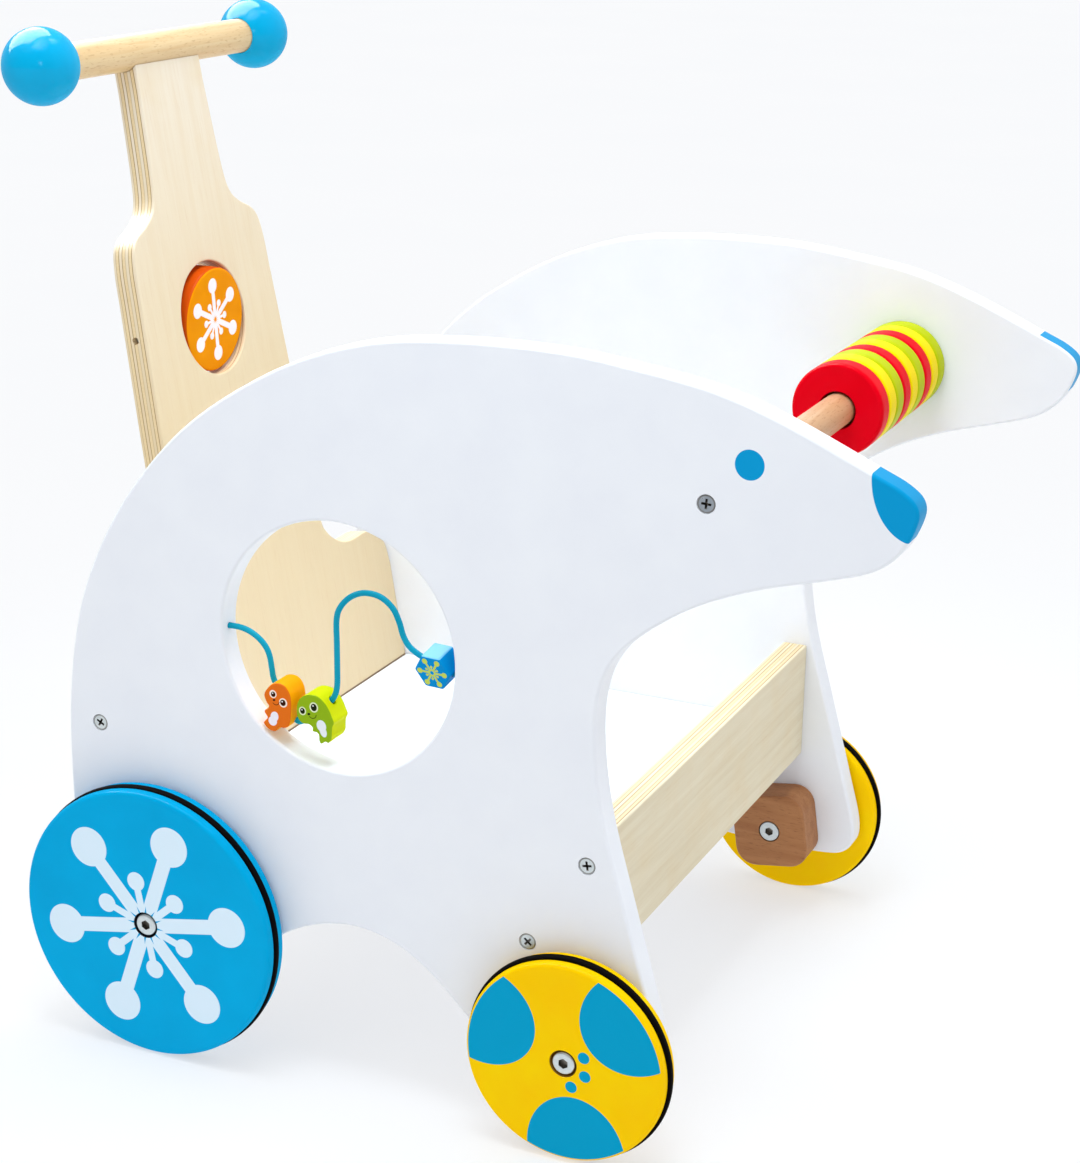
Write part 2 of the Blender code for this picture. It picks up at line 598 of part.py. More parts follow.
def make_rod(mats):
    """Dowel between the heads and the nine discs on it."""
    bm = rod_between((ROD_X, -BOARD_HALF, ROD_Z), (ROD_X, BOARD_HALF, ROD_Z), ROD_R, 24)
    rod = add_object("bead_rod", bm, mats["dowel_wood"])
    cut(rod, merge([pilot(side, *ROD_SCREW) for _, side in SIDES]))
    smooth(rod)
    for k in range(DISC_COUNT):
        y0 = PANEL_IN - GAP - DISC_STEP * (DISC_COUNT - k) + GAP
        y1 = y0 + DISC_T
        section = ((y0, DISC_BORE), (y0, DISC_R - DISC_EDGE), (y0 + DISC_EDGE, DISC_R),
                   (y1 - DISC_EDGE, DISC_R), (y1, DISC_R - DISC_EDGE), (y1, DISC_BORE))
        colour = DISC_COLOURS[k % 3]
        bm = place(turned(section, 20, True), (ROD_X, 0.0, ROD_Z))
        ob = add_object("disc_%d_%s" % (k + 1, colour), bm, mats["disc_" + colour], (ROD_X, (y0 + y1) / 2, ROD_Z))
        smooth(ob)


def make_wire(mats):
    """Bent wire across the right window."""
    path = open_spline([window_xz(p) for p in WIRE], 2)
    ends = []
    for end, nxt in ((path[0], path[1]), (path[-1], path[-2])):
        ends.append(end + (end - nxt).normalized() * (WIRE_SEAT - WIRE_END_PLAY))
    path = [ends[0]] + path + [ends[1]]
    bm = bmesh.new()
    rings = []
    for k, p in enumerate(path):
        a = path[max(k - 1, 0)]
        b = path[min(k + 1, len(path) - 1)]
        way = (b - a).normalized()
        out = Vector((-way.y, way.x))
        ring = []
        for j in range(6):
            ang = math.pi / 3 * j
            q = p + out * (WIRE_R * math.cos(ang))
            ring.append(bm.verts.new((q.x, WIRE_Y + WIRE_R * math.sin(ang), q.y)))
        rings.append(ring)
    for a, b in zip(rings, rings[1:]):
        for j in range(6):
            bm.faces.new((a[j], a[(j + 1) % 6], b[(j + 1) % 6], b[j]))
    bm.faces.new(rings[0])
    bm.faces.new(rings[-1])
    smooth(add_object("maze_wire", bm, mats["wire_blue"]))


def make_bead(name, outline, bore, mat, mats, thick=BEAD_T, turn=0.0):
    """Bead cut from a board, threaded on the wire."""
    a, b = (Vector((x, WIRE_Y, z)) for x, z in map(window_xz, bore))
    mid = (a + b) / 2
    way = (b - a).normalized()
    bm = slab([window_xz(p) for p in outline], WIRE_Y - thick / 2, WIRE_Y + thick / 2)
    if turn:
        spin = Matrix.Translation(mid) @ Matrix.Rotation(turn, 4, way) @ Matrix.Translation(-mid)
        bmesh.ops.transform(bm, matrix=spin, verts=bm.verts[:])
    ob = add_object(name, bm, mats[mat], mid)
    ease(ob, 0.0008)
    cut(ob, rod_between(mid - way * 0.02, mid + way * 0.02, BEAD_BORE, 12))
    smooth(ob)


def build():
    """The whole walker."""
    clear_scene()
    mats = make_materials()
    for name, side in SIDES:
        make_panel(name + "_side_panel", side, mats)
        for label, (x, z) in SCREWS:
            make_screw("%s_%s_screw" % (name, label), side, x, z, mats)
        for label, x, z, radius, mat in AXLES:
            make_wheel("%s_%s" % (label, name), side, x, z, radius, mat, mats)
            make_axle("%s_%s" % (label, name), side, x, z, FRONT_BLOCK_TURN if label == "front" else 0.0, mats)
    make_post(mats)
    make_boards(mats)
    make_handle(mats)
    make_spinner(mats)
    make_rod(mats)
    make_wire(mats)
    make_bead("orange_bead", [p[:] for p in spline(ORANGE_BEAD, 2)], ORANGE_BORE, "bead_orange", mats)
    make_bead("green_bead", [p[:] for p in spline(GREEN_BEAD, 2)], GREEN_BORE, "bead_green", mats)
    make_bead("block_bead", BLOCK_BEAD, BLOCK_BORE, "bead_blue", mats, BLOCK_BEAD_T, BLOCK_TURN)


build()
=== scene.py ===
# %% [markdown]
# # A wooden push walker, dressed around its CAD frame
#
# The walker is a small cart that a child who is learning to walk leans on and pushes.
# Two white sides cut in the shape of a bear stand on four wheels, a plywood post carries
# the grip, and a rod of discs, a spinner and a wire maze are there to play with.
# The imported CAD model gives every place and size. This script models each piece again
# with rounder edges and finer steps, in the same place, and gives it a finish.

# %% Load the frame
import math

import bpy
from mathutils import Matrix, Vector


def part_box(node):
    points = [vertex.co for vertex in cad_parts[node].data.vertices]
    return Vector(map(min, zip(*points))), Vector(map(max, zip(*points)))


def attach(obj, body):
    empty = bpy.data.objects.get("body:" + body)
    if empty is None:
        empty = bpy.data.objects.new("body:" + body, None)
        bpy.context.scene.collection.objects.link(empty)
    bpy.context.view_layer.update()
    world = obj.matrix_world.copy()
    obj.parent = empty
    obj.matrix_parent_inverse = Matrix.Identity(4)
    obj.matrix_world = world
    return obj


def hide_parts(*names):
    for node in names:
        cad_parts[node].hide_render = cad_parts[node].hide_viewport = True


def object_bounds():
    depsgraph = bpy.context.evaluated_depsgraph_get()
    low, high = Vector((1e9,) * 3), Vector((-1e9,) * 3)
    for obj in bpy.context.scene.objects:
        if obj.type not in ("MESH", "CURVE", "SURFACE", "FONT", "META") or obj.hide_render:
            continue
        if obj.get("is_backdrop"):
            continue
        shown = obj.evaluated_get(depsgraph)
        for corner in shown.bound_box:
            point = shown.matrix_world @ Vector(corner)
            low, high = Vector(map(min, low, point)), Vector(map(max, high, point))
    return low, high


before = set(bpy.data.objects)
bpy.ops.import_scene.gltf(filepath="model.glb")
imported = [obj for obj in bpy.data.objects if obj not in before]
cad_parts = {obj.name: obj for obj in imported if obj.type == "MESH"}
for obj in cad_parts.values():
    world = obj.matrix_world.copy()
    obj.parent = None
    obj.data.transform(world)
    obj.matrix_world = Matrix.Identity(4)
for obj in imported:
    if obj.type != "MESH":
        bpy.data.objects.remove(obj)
cad_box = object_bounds()

# %% [markdown]
# ## Camera
#
# The camera stands where the photographer stood: in front and to the right of the walker,
# a little above the grip, with a long lens. Its place and its three axes came from the
# round wheels and the straight boards, so the picture lines up with the real one.

# %% Camera
PICTURE = (1080, 1163)
FOCAL_PIXELS = 2343.7
SENSOR = 36.0
eye_at = Vector((0.4717, -1.0331, 0.5995))
eye_right = Vector((0.9086, 0.4174, 0.0128))
eye_up = Vector((-0.1436, 0.2834, 0.9482))

lens = bpy.data.cameras.new("photo_lens")
lens.sensor_fit = "HORIZONTAL"
lens.sensor_width = SENSOR
lens.lens = FOCAL_PIXELS / PICTURE[0] * SENSOR
camera = bpy.data.objects.new("photo_camera", lens)
bpy.context.scene.collection.objects.link(camera)
eye_back = eye_right.cross(eye_up).normalized()
eye_up = eye_back.cross(eye_right).normalized()
turn = Matrix((eye_right.normalized(), eye_up, eye_back)).transposed().to_4x4()
camera.matrix_world = Matrix.Translation(eye_at) @ turn
bpy.context.scene.camera = camera
print("lens %.1f mm" % lens.lens)

# %% [markdown]
# ## Small helpers for materials
#
# A finish is a little network of nodes. One helper adds a node, sets its options, fills its
# sockets with a number, a colour or a link, and hands back the output that the next node
# needs. Colours are written as the hex values that a painter reads off a screen, and one
# function turns them into the linear numbers that the renderer works with. Patterns are
# given by their real size in millimetres.

# %% Colours and nodes
MM = 0.001


def linear(colour):
    """Linear RGBA of an sRGB hex colour."""
    parts = [int(colour[i:i + 2], 16) / 255 for i in (1, 3, 5)]
    return [c / 12.92 if c <= 0.04045 else ((c + 0.055) / 1.055) ** 2.4 for c in parts] + [1.0]


def per(millimetres):
    """Scale of a pattern whose features have a real size."""
    return 1 / (millimetres * MM)


def fill(tree, node, sockets):
    """Fill a node's sockets with values or links."""
    for key, value in sockets.items():
        if isinstance(value, bpy.types.NodeSocket):
            tree.links.new(value, node.inputs[key])
        else:
            node.inputs[key].default_value = value


def add(tree, kind, sockets=None, out=0, **settings):
    """Add a node with its settings and filled sockets, and return one of its outputs."""
    made = tree.nodes.new("ShaderNode" + kind)
    for key, value in settings.items():
        setattr(made, key, value)
    fill(tree, made, sockets or {})
    return made.outputs[out]


def new_finish(name):
    """A material, its node tree, its shader and the Object coordinates."""
    finish = bpy.data.materials.new(name)
    finish.use_nodes = True
    tree = finish.node_tree
    return finish, tree, tree.nodes["Principled BSDF"], add(tree, "TexCoord", out="Object")


print("blue paint is", [round(c, 3) for c in linear("#009FDB")])

# %% [markdown]
# ## Floor and light
#
# The studio is a light table under a bright, even sky of white walls. The table glows from
# below, as acrylic tables for product pictures do, so that shadows on it stay faint. The sky
# is dimmer on the side of the camera, which leaves the outer side in soft shade, and mirror
# reflections see a sky that is darker still on that side. One very wide lamp far overhead,
# set up as a soft sun, lights the table evenly out to where it meets the sky, and two small
# ones hang over the space between the sides. Two box lamps show only as gloss: a wide one
# above and behind, and a small one beside the camera.
# The light is only as strong as a colour needs to come out as it is written.

# %% Floor
bpy.context.scene.view_settings.view_transform = "Standard"

TABLE_GLOW = 0.58
TABLE_SPAN = 60.0
floor_finish, tree, shader, place = new_finish("studio_floor")
mottle = add(tree, "TexNoise", {"Vector": place, "Scale": 3.0, "Detail": 2.0})
pale = add(tree, "Mix", {0: mottle, 6: linear("#A4A5A6"), 7: linear("#A8A8A8")}, 2, data_type="RGBA")
fill(tree, shader, {"Base Color": pale, "Emission Color": linear("#FCFDFF"),
                    "Emission Strength": TABLE_GLOW, "Roughness": 0.9, "Specular IOR Level": 0.0})

bpy.ops.object.select_all(action="DESELECT")
bpy.ops.mesh.primitive_plane_add(size=TABLE_SPAN, location=(0, 0, 0))
floor = bpy.context.object
floor.name = "studio_floor"
floor.data.materials.append(floor_finish)
floor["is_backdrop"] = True
print("table glow %.2f" % TABLE_GLOW)

# %% Sky
SKY_BEHIND, SKY_AHEAD = 0.95, 0.62
GLOSS_BEHIND, GLOSS_AHEAD = 1.1, 0.25
CAMERA_SIDE = (0.15, -0.99, 0.0)

sky = bpy.data.worlds.new("studio_sky")
bpy.context.scene.world = sky
sky.use_nodes = True
tree = sky.node_tree
around = add(tree, "TexCoord", out="Generated")
ahead = add(tree, "VectorMath", {0: around, 1: CAMERA_SIDE}, "Value", operation="DOT_PRODUCT")
level = add(tree, "MapRange", {"Value": ahead, "From Min": -0.8, "From Max": 0.9,
                               "To Min": SKY_BEHIND, "To Max": SKY_AHEAD})
gloss = add(tree, "MapRange", {"Value": ahead, "From Min": -0.5, "From Max": 0.7,
                               "To Min": GLOSS_BEHIND, "To Max": GLOSS_AHEAD})
glossy_ray = add(tree, "LightPath", out="Is Glossy Ray")
level = add(tree, "MapRange", {"Value": glossy_ray, "To Min": level, "To Max": gloss})
camera_ray = add(tree, "LightPath", out="Is Camera Ray")
level = add(tree, "MapRange", {"Value": camera_ray, "To Min": level, "To Max": 1.0})
fill(tree, tree.nodes["Background"], {"Color": linear("#FBFCFE"), "Strength": level})
print("sky from %.2f to %.2f" % (SKY_AHEAD, SKY_BEHIND))

# %% Lamps
SUN_LIGHT = 0.78
COOL_WHITE = (0.84, 0.93, 1.0)
BOX_AIM = (0.0, 0.0, 0.35)
# name, place, aim, watts, size and spread in degrees
INNER_LAMPS = (("inner_lamp_right", (0.02, -0.14, 0.98), (0.02, 0.14, 0.0), 0.84, 0.5, 65.0),
               ("inner_lamp_left", (0.06, 0.14, 0.95), (-0.075, -0.144, 0.185), 0.17, 0.3, 40.0))
# name, place, watts and size
GLOSS_BOXES = (("gloss_box_behind", (-0.88, 0.24, 1.46), 125.0, 1.5),
               ("gloss_box_ahead", (0.60, -1.20, 0.85), 1.0, 0.25))


def hang(name, kind, spot, aim, energy, **settings):
    """Hang a lamp at a spot, aim it, and return its object."""
    lamp = bpy.data.lights.new(name, kind)
    lamp.energy = energy
    for key, value in settings.items():
        setattr(lamp, key, value)
    holder = bpy.data.objects.new(name, lamp)
    bpy.context.scene.collection.objects.link(holder)
    holder.location = spot
    holder.rotation_euler = (Vector(aim) - holder.location).to_track_quat("-Z", "Y").to_euler()
    return holder


hang("overhead_sun", "SUN", (-0.5, -0.6, 3.0), (0.0, 0.0, 0.0), SUN_LIGHT, angle=math.radians(70.0))
for name, spot, aim, watts, size, spread in INNER_LAMPS:
    hang(name, "AREA", spot, aim, watts, size=size, color=COOL_WHITE, spread=math.radians(spread))
for name, spot, watts, size in GLOSS_BOXES:
    hang(name, "AREA", spot, BOX_AIM, watts, size=size).visible_diffuse = False
print("sun %.2f, lamps %d" % (SUN_LIGHT, len(INNER_LAMPS) + len(GLOSS_BOXES)))

# %% [markdown]
# ## Finish: sprayed enamel on wood
#
# The wheels, balls, discs and beads are wood under gloss paint. A sprayed coat is almost one
# colour, with slow drifts of tone where it lies thicker, and its skin has the fine waves that
# painters call orange peel. A clear film on top gives the gloss: a thin film with a low index
# shines only along the edges that are seen at a slant. Prints are a second colour over a mask.
# A mask is made from distances: it is positive inside the printed shape, zero on its edge, and
# the edge is softened by less than a tenth of a millimetre.

# %% Enamel
PATCH = per(26)            # slow drifts of tone
PEEL = per(1.3)            # orange peel, drawn coarse enough to show
PRINT_SOFT = 0.06 * MM
PAINT_IOR = 1.5
FILM_BLUR = 0.12


def enamel(name, light, deep, prints=(), rough=(0.26, 0.38), peel=0.10, shine=0.0, coat=0.10, film=1.5):
    """Gloss paint between two close tones, with printed shapes over it and a clear film on top."""
    finish, tree, shader, place = new_finish(name)
    drift = add(tree, "TexNoise", {"Vector": place, "Scale": PATCH, "Detail": 3.0})
    spread = add(tree, "MapRange", {"Value": drift, "From Min": 0.3, "From Max": 0.7})
    colour = add(tree, "Mix", {0: spread, 6: linear(light), 7: linear(deep)}, 2, data_type="RGBA")
    for shape, ink in prints:
        inside = shape(tree, place)
        mask = add(tree, "MapRange", {"Value": inside, "From Min": -PRINT_SOFT, "From Max": PRINT_SOFT})
        colour = add(tree, "Mix", {0: mask, 6: colour, 7: linear(ink)}, 2, data_type="RGBA")
    gloss = add(tree, "MapRange", {"Value": drift, "To Min": rough[0], "To Max": rough[1]})
    skin = add(tree, "TexNoise", {"Vector": place, "Scale": PEEL, "Detail": 1.0})
    wave = add(tree, "Bump", {"Height": skin, "Strength": peel, "Distance": 0.1 * MM})
    fill(tree, shader, {"Base Color": colour, "Roughness": gloss, "Normal": wave, "IOR": PAINT_IOR,
                        "Specular IOR Level": shine, "Coat Weight": coat,
                        "Coat Roughness": FILM_BLUR, "Coat IOR": film})
    return finish


print("orange peel at %.0f per metre" % PEEL)

# %% [markdown]
# ## Printed shapes
#
# Three prints are used. A snowflake has six long arms that end in a bulb and six short ones
# between them, so the angle round the centre is folded into one sixth of a turn and only one
# arm of each kind is drawn. Three lobes on the front wheels are ellipses cut off by the rim,
# folded into a third of a turn. Spots are plain circles and ellipses. A print is drawn right
# through a piece, so it is also cut off by depth to keep it on the outer face.

# %% Distances for prints
FACE_PLANES = {"xz": (math.pi / 2, 0.0, 0.0), "yz": (math.pi / 2, 0.0, math.pi / 2)}


def flat_place(tree, place, centre, plane):
    """Coordinates on a face, from the centre of its print."""
    local = add(tree, "Mapping", {"Vector": place, "Location": centre, "Rotation": FACE_PLANES[plane]},
                vector_type="TEXTURE")
    return add(tree, "VectorMath", {0: local, 1: (1.0, 1.0, 0.0)}, operation="MULTIPLY")


def reach_from(tree, place, centre, plane):
    """Distance on a face from a centre."""
    flat = flat_place(tree, place, centre, plane)
    return add(tree, "VectorMath", {0: flat}, "Value", operation="LENGTH")


def away(tree, place, axis, middle=0.0):
    """Distance from a plane that is square to an axis."""
    along = add(tree, "SeparateXYZ", {0: place}, axis)
    off = add(tree, "Math", {0: along, 1: middle}, operation="SUBTRACT")
    return add(tree, "Math", {0: off}, operation="ABSOLUTE")


def pick(tree, operation, *values):
    """The MINIMUM or the MAXIMUM of several distances."""
    best = values[0]
    for value in values[1:]:
        best = add(tree, "Math", {0: best, 1: value}, operation=operation)
    return best


def folded(tree, flat, turn, share):
    """Distance from the centre, and how far along and aside of the nearest arm."""
    reach = add(tree, "VectorMath", {0: flat}, "Value", operation="LENGTH")
    across, up = (add(tree, "SeparateXYZ", {0: flat}, axis) for axis in "XY")
    angle = add(tree, "Math", {0: up, 1: across}, operation="ARCTAN2")
    angle = add(tree, "Math", {0: angle, 1: -turn}, operation="ADD")
    fold = add(tree, "Math", {0: angle, 1: share / 2}, operation="PINGPONG")
    cosine, sine = (add(tree, "Math", {0: fold}, operation=wave) for wave in ("COSINE", "SINE"))
    along = add(tree, "Math", {0: reach, 1: cosine}, operation="MULTIPLY")
    aside = add(tree, "Math", {0: reach, 1: sine}, operation="MULTIPLY")
    return reach, along, aside


print("face planes", list(FACE_PLANES))

# %% Printed shapes
# turn, length, bulb's radius and half width of an arm, as shares of the size
SNOW_ARMS = ((0.0, 1.0, 0.218, 0.082), (math.pi / 6, 0.488, 0.103, 0.040))
THORN_SLOPE = 0.15


def snowflake(centre, plane, turn, size, heart, spike):
    """Print of a snowflake: arms of a size, an open heart, and bare thorns between the arms."""
    def shape(tree, place):
        flat = flat_place(tree, place, centre, plane)
        arms = []
        for shift, length, bulb, half in SNOW_ARMS:
            _, along, aside = folded(tree, flat, turn + shift, math.pi / 3)
            wide = add(tree, "Math", {0: half * size, 1: aside}, operation="SUBTRACT")
            far = add(tree, "Math", {0: length * size, 1: along}, operation="SUBTRACT")
            spot = add(tree, "CombineXYZ", {0: along, 1: aside})
            end = (length * size, 0.0, 0.0)
            gone = add(tree, "VectorMath", {0: spot, 1: end}, "Value", operation="DISTANCE")
            ball = add(tree, "Math", {0: bulb * size, 1: gone}, operation="SUBTRACT")
            arms += [pick(tree, "MINIMUM", wide, far), ball]
        reach, along, aside = folded(tree, flat, turn + math.pi / 12, math.pi / 6)
        slope = add(tree, "Math", {0: along, 1: spike}, operation="SUBTRACT")
        thorn = add(tree, "Math", {0: slope, 1: THORN_SLOPE, 2: aside}, operation="MULTIPLY_ADD")
        hole = add(tree, "Math", {0: reach, 1: heart}, operation="SUBTRACT")
        return pick(tree, "MINIMUM", pick(tree, "MAXIMUM", *arms), thorn, hole)
    return shape


def lobes(centre, plane, turn, middle, half_long, half_wide, rim):
    """Print of three lobes that come in from the rim."""
    def shape(tree, place):
        flat = flat_place(tree, place, centre, plane)
        reach, along, aside = folded(tree, flat, turn, 2 * math.pi / 3)
        u = add(tree, "Math", {0: along, 1: middle}, operation="SUBTRACT")
        u = add(tree, "Math", {0: u, 1: half_long}, operation="DIVIDE")
        v = add(tree, "Math", {0: aside, 1: half_wide}, operation="DIVIDE")
        spot = add(tree, "CombineXYZ", {0: u, 1: v})
        size = add(tree, "VectorMath", {0: spot}, "Value", operation="LENGTH")
        bulge = add(tree, "Math", {0: 1.0, 1: size}, operation="SUBTRACT")
        bulge = add(tree, "Math", {0: bulge, 1: half_wide}, operation="MULTIPLY")
        edge = add(tree, "Math", {0: rim, 1: reach}, operation="SUBTRACT")
        return pick(tree, "MINIMUM", bulge, edge)
    return shape


def spots(centre, plane, marks):
    """Print of ellipses: (along, up, half width, half height, turn) each."""
    def shape(tree, place):
        flat = flat_place(tree, place, centre, plane)
        ellipses = []
        for x, y, wide, high, tilt in marks:
            local = add(tree, "Mapping", {"Vector": flat, "Location": (x, y, 0.0),
                                          "Rotation": (0.0, 0.0, tilt), "Scale": (wide, high, 1.0)},
                        vector_type="TEXTURE")
            size = add(tree, "VectorMath", {0: local}, "Value", operation="LENGTH")
            room = add(tree, "Math", {0: 1.0, 1: size}, operation="SUBTRACT")
            ellipses.append(add(tree, "Math", {0: room, 1: min(wide, high)}, operation="MULTIPLY"))
        return pick(tree, "MAXIMUM", *ellipses)
    return shape


def outer_only(shape, limit):
    """Keep a print to what lies further out than a limit, on either side."""
    def cut(tree, place):
        room = add(tree, "Math", {0: away(tree, place, "Y"), 1: limit}, operation="SUBTRACT")
        return pick(tree, "MINIMUM", shape(tree, place), room)
    return cut


print("prints: snowflake, lobes, spots")

# %% [markdown]
# ## Helpers for shapes
#
# Most pieces are either cut from a board or turned on a lathe, so two helpers do most of the
# work. `cut_board` lays the points of a circle along an outline and extrudes the face, as a
# saw does. `turn_piece` lays them along half of a section and spins it, as a lathe does.
# `drill` takes another shape away with a Boolean modifier, and `ease` rounds the edges that
# are left with a Bevel modifier. Each modifier is applied, so that the mesh is the real shape.

# %% Selecting and closing


def start_clean():
    """Leave edit mode and select nothing."""
    if bpy.context.object is not None and bpy.context.object.mode != "OBJECT":
        bpy.ops.object.mode_set(mode="OBJECT")
    bpy.ops.object.select_all(action="DESELECT")


def only(ob):
    """Make one object the selected and active one."""
    start_clean()
    ob.select_set(True)
    bpy.context.view_layer.objects.active = ob


def discard(*masters):
    """Remove objects that were only a step on the way."""
    for master in masters:
        bpy.data.objects.remove(master, do_unlink=True)


def ring_of(name, points, fill_type):
    """A circle whose points are moved onto an outline, left in edit mode with all selected."""
    start_clean()
    bpy.ops.mesh.primitive_circle_add(vertices=len(points), radius=0.05, fill_type=fill_type)
    ob = bpy.context.object
    ob.name = name
    for corner, point in zip(ob.data.vertices, points):
        corner.co = point
    bpy.ops.object.mode_set(mode="EDIT")
    bpy.ops.mesh.select_all(action="SELECT")
    return ob


def close_mesh(ob, merge=1e-7):
    """Merge doubles, turn all faces outwards and leave edit mode."""
    bpy.ops.mesh.select_all(action="SELECT")
    bpy.ops.mesh.remove_doubles(threshold=merge)
    bpy.ops.mesh.normals_make_consistent(inside=False)
    bpy.ops.object.mode_set(mode="OBJECT")
    return ob


print("mesh helpers ready")

# %% Saw, lathe, drill and router


def cut_board(name, points, thick):
    """Board cut to an outline of 3-D points and made thick along a vector."""
    ob = ring_of(name, points, "NGON")
    bpy.ops.mesh.extrude_region_move(TRANSFORM_OT_translate={"value": thick})
    return close_mesh(ob)


def turn_piece(name, section, steps, at=(0.0, 0.0), closed=True):
    """Spin a section of (along Y, radius) pairs about an axis parallel to Y at (x, z)."""
    ob = ring_of(name, [(at[0] + r, a, at[1]) for a, r in section], "NOTHING")
    if not closed:
        bpy.ops.mesh.select_all(action="DESELECT")
        bpy.ops.object.mode_set(mode="OBJECT")
        last = len(section) - 1
        for edge in ob.data.edges:
            edge.select = set(edge.vertices) == {0, last}
        bpy.ops.object.mode_set(mode="EDIT")
        bpy.ops.mesh.select_mode(type="EDGE")
        bpy.ops.mesh.delete(type="EDGE")
        bpy.ops.mesh.select_mode(type="VERT")
        bpy.ops.mesh.select_all(action="SELECT")
    bpy.ops.mesh.spin(steps=steps, angle=2 * math.pi, center=(at[0], 0.0, at[1]), axis=(0, 1, 0))
    return close_mesh(ob, 1e-6)


def apply_all(ob):
    """Apply every modifier of an object."""
    only(ob)
    for modifier in list(ob.modifiers):
        bpy.ops.object.modifier_apply(modifier=modifier.name)


def drill(ob, *cutters):
    """Take the volumes of other objects out of one, and remove them."""
    for cutter in cutters:
        bite = ob.modifiers.new("bite", "BOOLEAN")
        bite.operation = "DIFFERENCE"
        bite.solver = "EXACT"
        bite.object = cutter
        apply_all(ob)
        discard(cutter)


def bit(a, b, radius, steps=48):
    """A drill's path: a cylinder from one point to another."""
    a, b = Vector(a), Vector(b)
    start_clean()
    bpy.ops.mesh.primitive_cylinder_add(vertices=steps, radius=radius, depth=(b - a).length,
                                        location=(a + b) / 2)
    ob = bpy.context.object
    ob.rotation_euler = Vector((0, 0, 1)).rotation_difference(b - a).to_euler()
    bpy.ops.object.transform_apply(location=True, rotation=True, scale=True)
    return ob


def ease(ob, width, segments=3, limit=40.0):
    """Round the sharp edges."""
    edge = ob.modifiers.new("edge", "BEVEL")
    edge.width = width
    edge.segments = segments
    edge.limit_method = "ANGLE"
    edge.angle_limit = math.radians(limit)
    apply_all(ob)


def smooth(ob, angle=35.0, level_flats=True):
    """Shade smooth across soft edges, with flat faces kept level."""
    only(ob)
    bpy.ops.object.shade_smooth_by_angle(angle=math.radians(angle))
    if level_flats:
        ob.modifiers.new("flats", "WEIGHTED_NORMAL").keep_sharp = True
        apply_all(ob)


print("shape helpers ready")

# %% Outlines, copies and dressing
SIDES = (("right", -1), ("left", 1))
GAP = 0.0003               # clearance between pieces that touch


def rounded(corners, bits=5):
    """Points along a section whose corners (along, radius, rounding) are rounded off."""
    out = []
    count = len(corners)
    for k, (a, r, soft) in enumerate(corners):
        here = Vector((a, r))
        if soft <= 0:
            out.append(here[:])
            continue
        before = (Vector(corners[k - 1][:2]) - here).normalized()
        after = (Vector(corners[(k + 1) % count][:2]) - here).normalized()
        for j in range(bits + 1):
            t = j / bits
            p = here + before * soft * (1 - t) ** 2 + after * soft * t ** 2
            out.append(p[:])
    return out


def smooth_path(points, steps, closed):
    """Smooth curve through points (Catmull-Rom), as 2-D vectors."""
    pts = [Vector(p) for p in points]
    if not closed:
        pts = [2 * pts[0] - pts[1]] + pts + [2 * pts[-1] - pts[-2]]
    count = len(pts)
    out = []
    for i in range(0 if closed else 1, count if closed else count - 2):
        p0, p1, p2, p3 = pts[i - 1], pts[i], pts[(i + 1) % count], pts[(i + 2) % count]
        for k in range(steps):
            t = k / steps
            out.append(0.5 * (2 * p1 + (p2 - p0) * t + (2 * p0 - 5 * p1 + 4 * p2 - p3) * t ** 2
                              + (3 * p1 - p0 - 3 * p2 + p3) * t ** 3))
    if not closed:
        out.append(pts[-2])
    return out


def copy_to(master, name, matrix):
    """Copy a piece with its own mesh, moved in the mesh."""
    twin = master.copy()
    twin.data = master.data.copy()
    twin.name = name
    twin.data.transform(matrix)
    bpy.context.scene.collection.objects.link(twin)
    return twin


def dress(ob, body, slot, finish, *nodes):
    """Give a piece its finish and its body, and hide the CAD nodes that it stands for."""
    ob.data.materials.clear()
    ob.data.materials.append(finish)
    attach(ob, body)
    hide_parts(*nodes)


def side_matrix(side, x, z, y=0.0):
    """From a piece modelled for the right side about the Y axis to its place on either side."""
    half_turn = Matrix.Rotation(math.pi if side > 0 else 0.0, 4, "Z")
    return Matrix.Translation((x, y, z)) @ half_turn


print("sides", [name for name, _ in SIDES])

# %% [markdown]
# ## Side panels
#
# Each side is a 13.5 mm board in the outline of a standing bear, with a round window in its
# belly. The outline is a smooth curve through a few points measured from the axles. The
# window is drilled first, then all edges are rounded by the router's 1.6 mm, and the screw
# holes come last, so that their edges stay crisp. The right window also has two small
# holes in its rim for the ends of the wire.

# %% Side panel sizes
REAR_X, FRONT_X = -0.1320, 0.0932
REAR_Z, FRONT_Z = 0.0711, 0.0511
PANEL_OUT, PANEL_IN = 0.1510, 0.1375
WINDOW = (REAR_X + 0.1001, 0.2266)
WINDOW_R = 0.0610
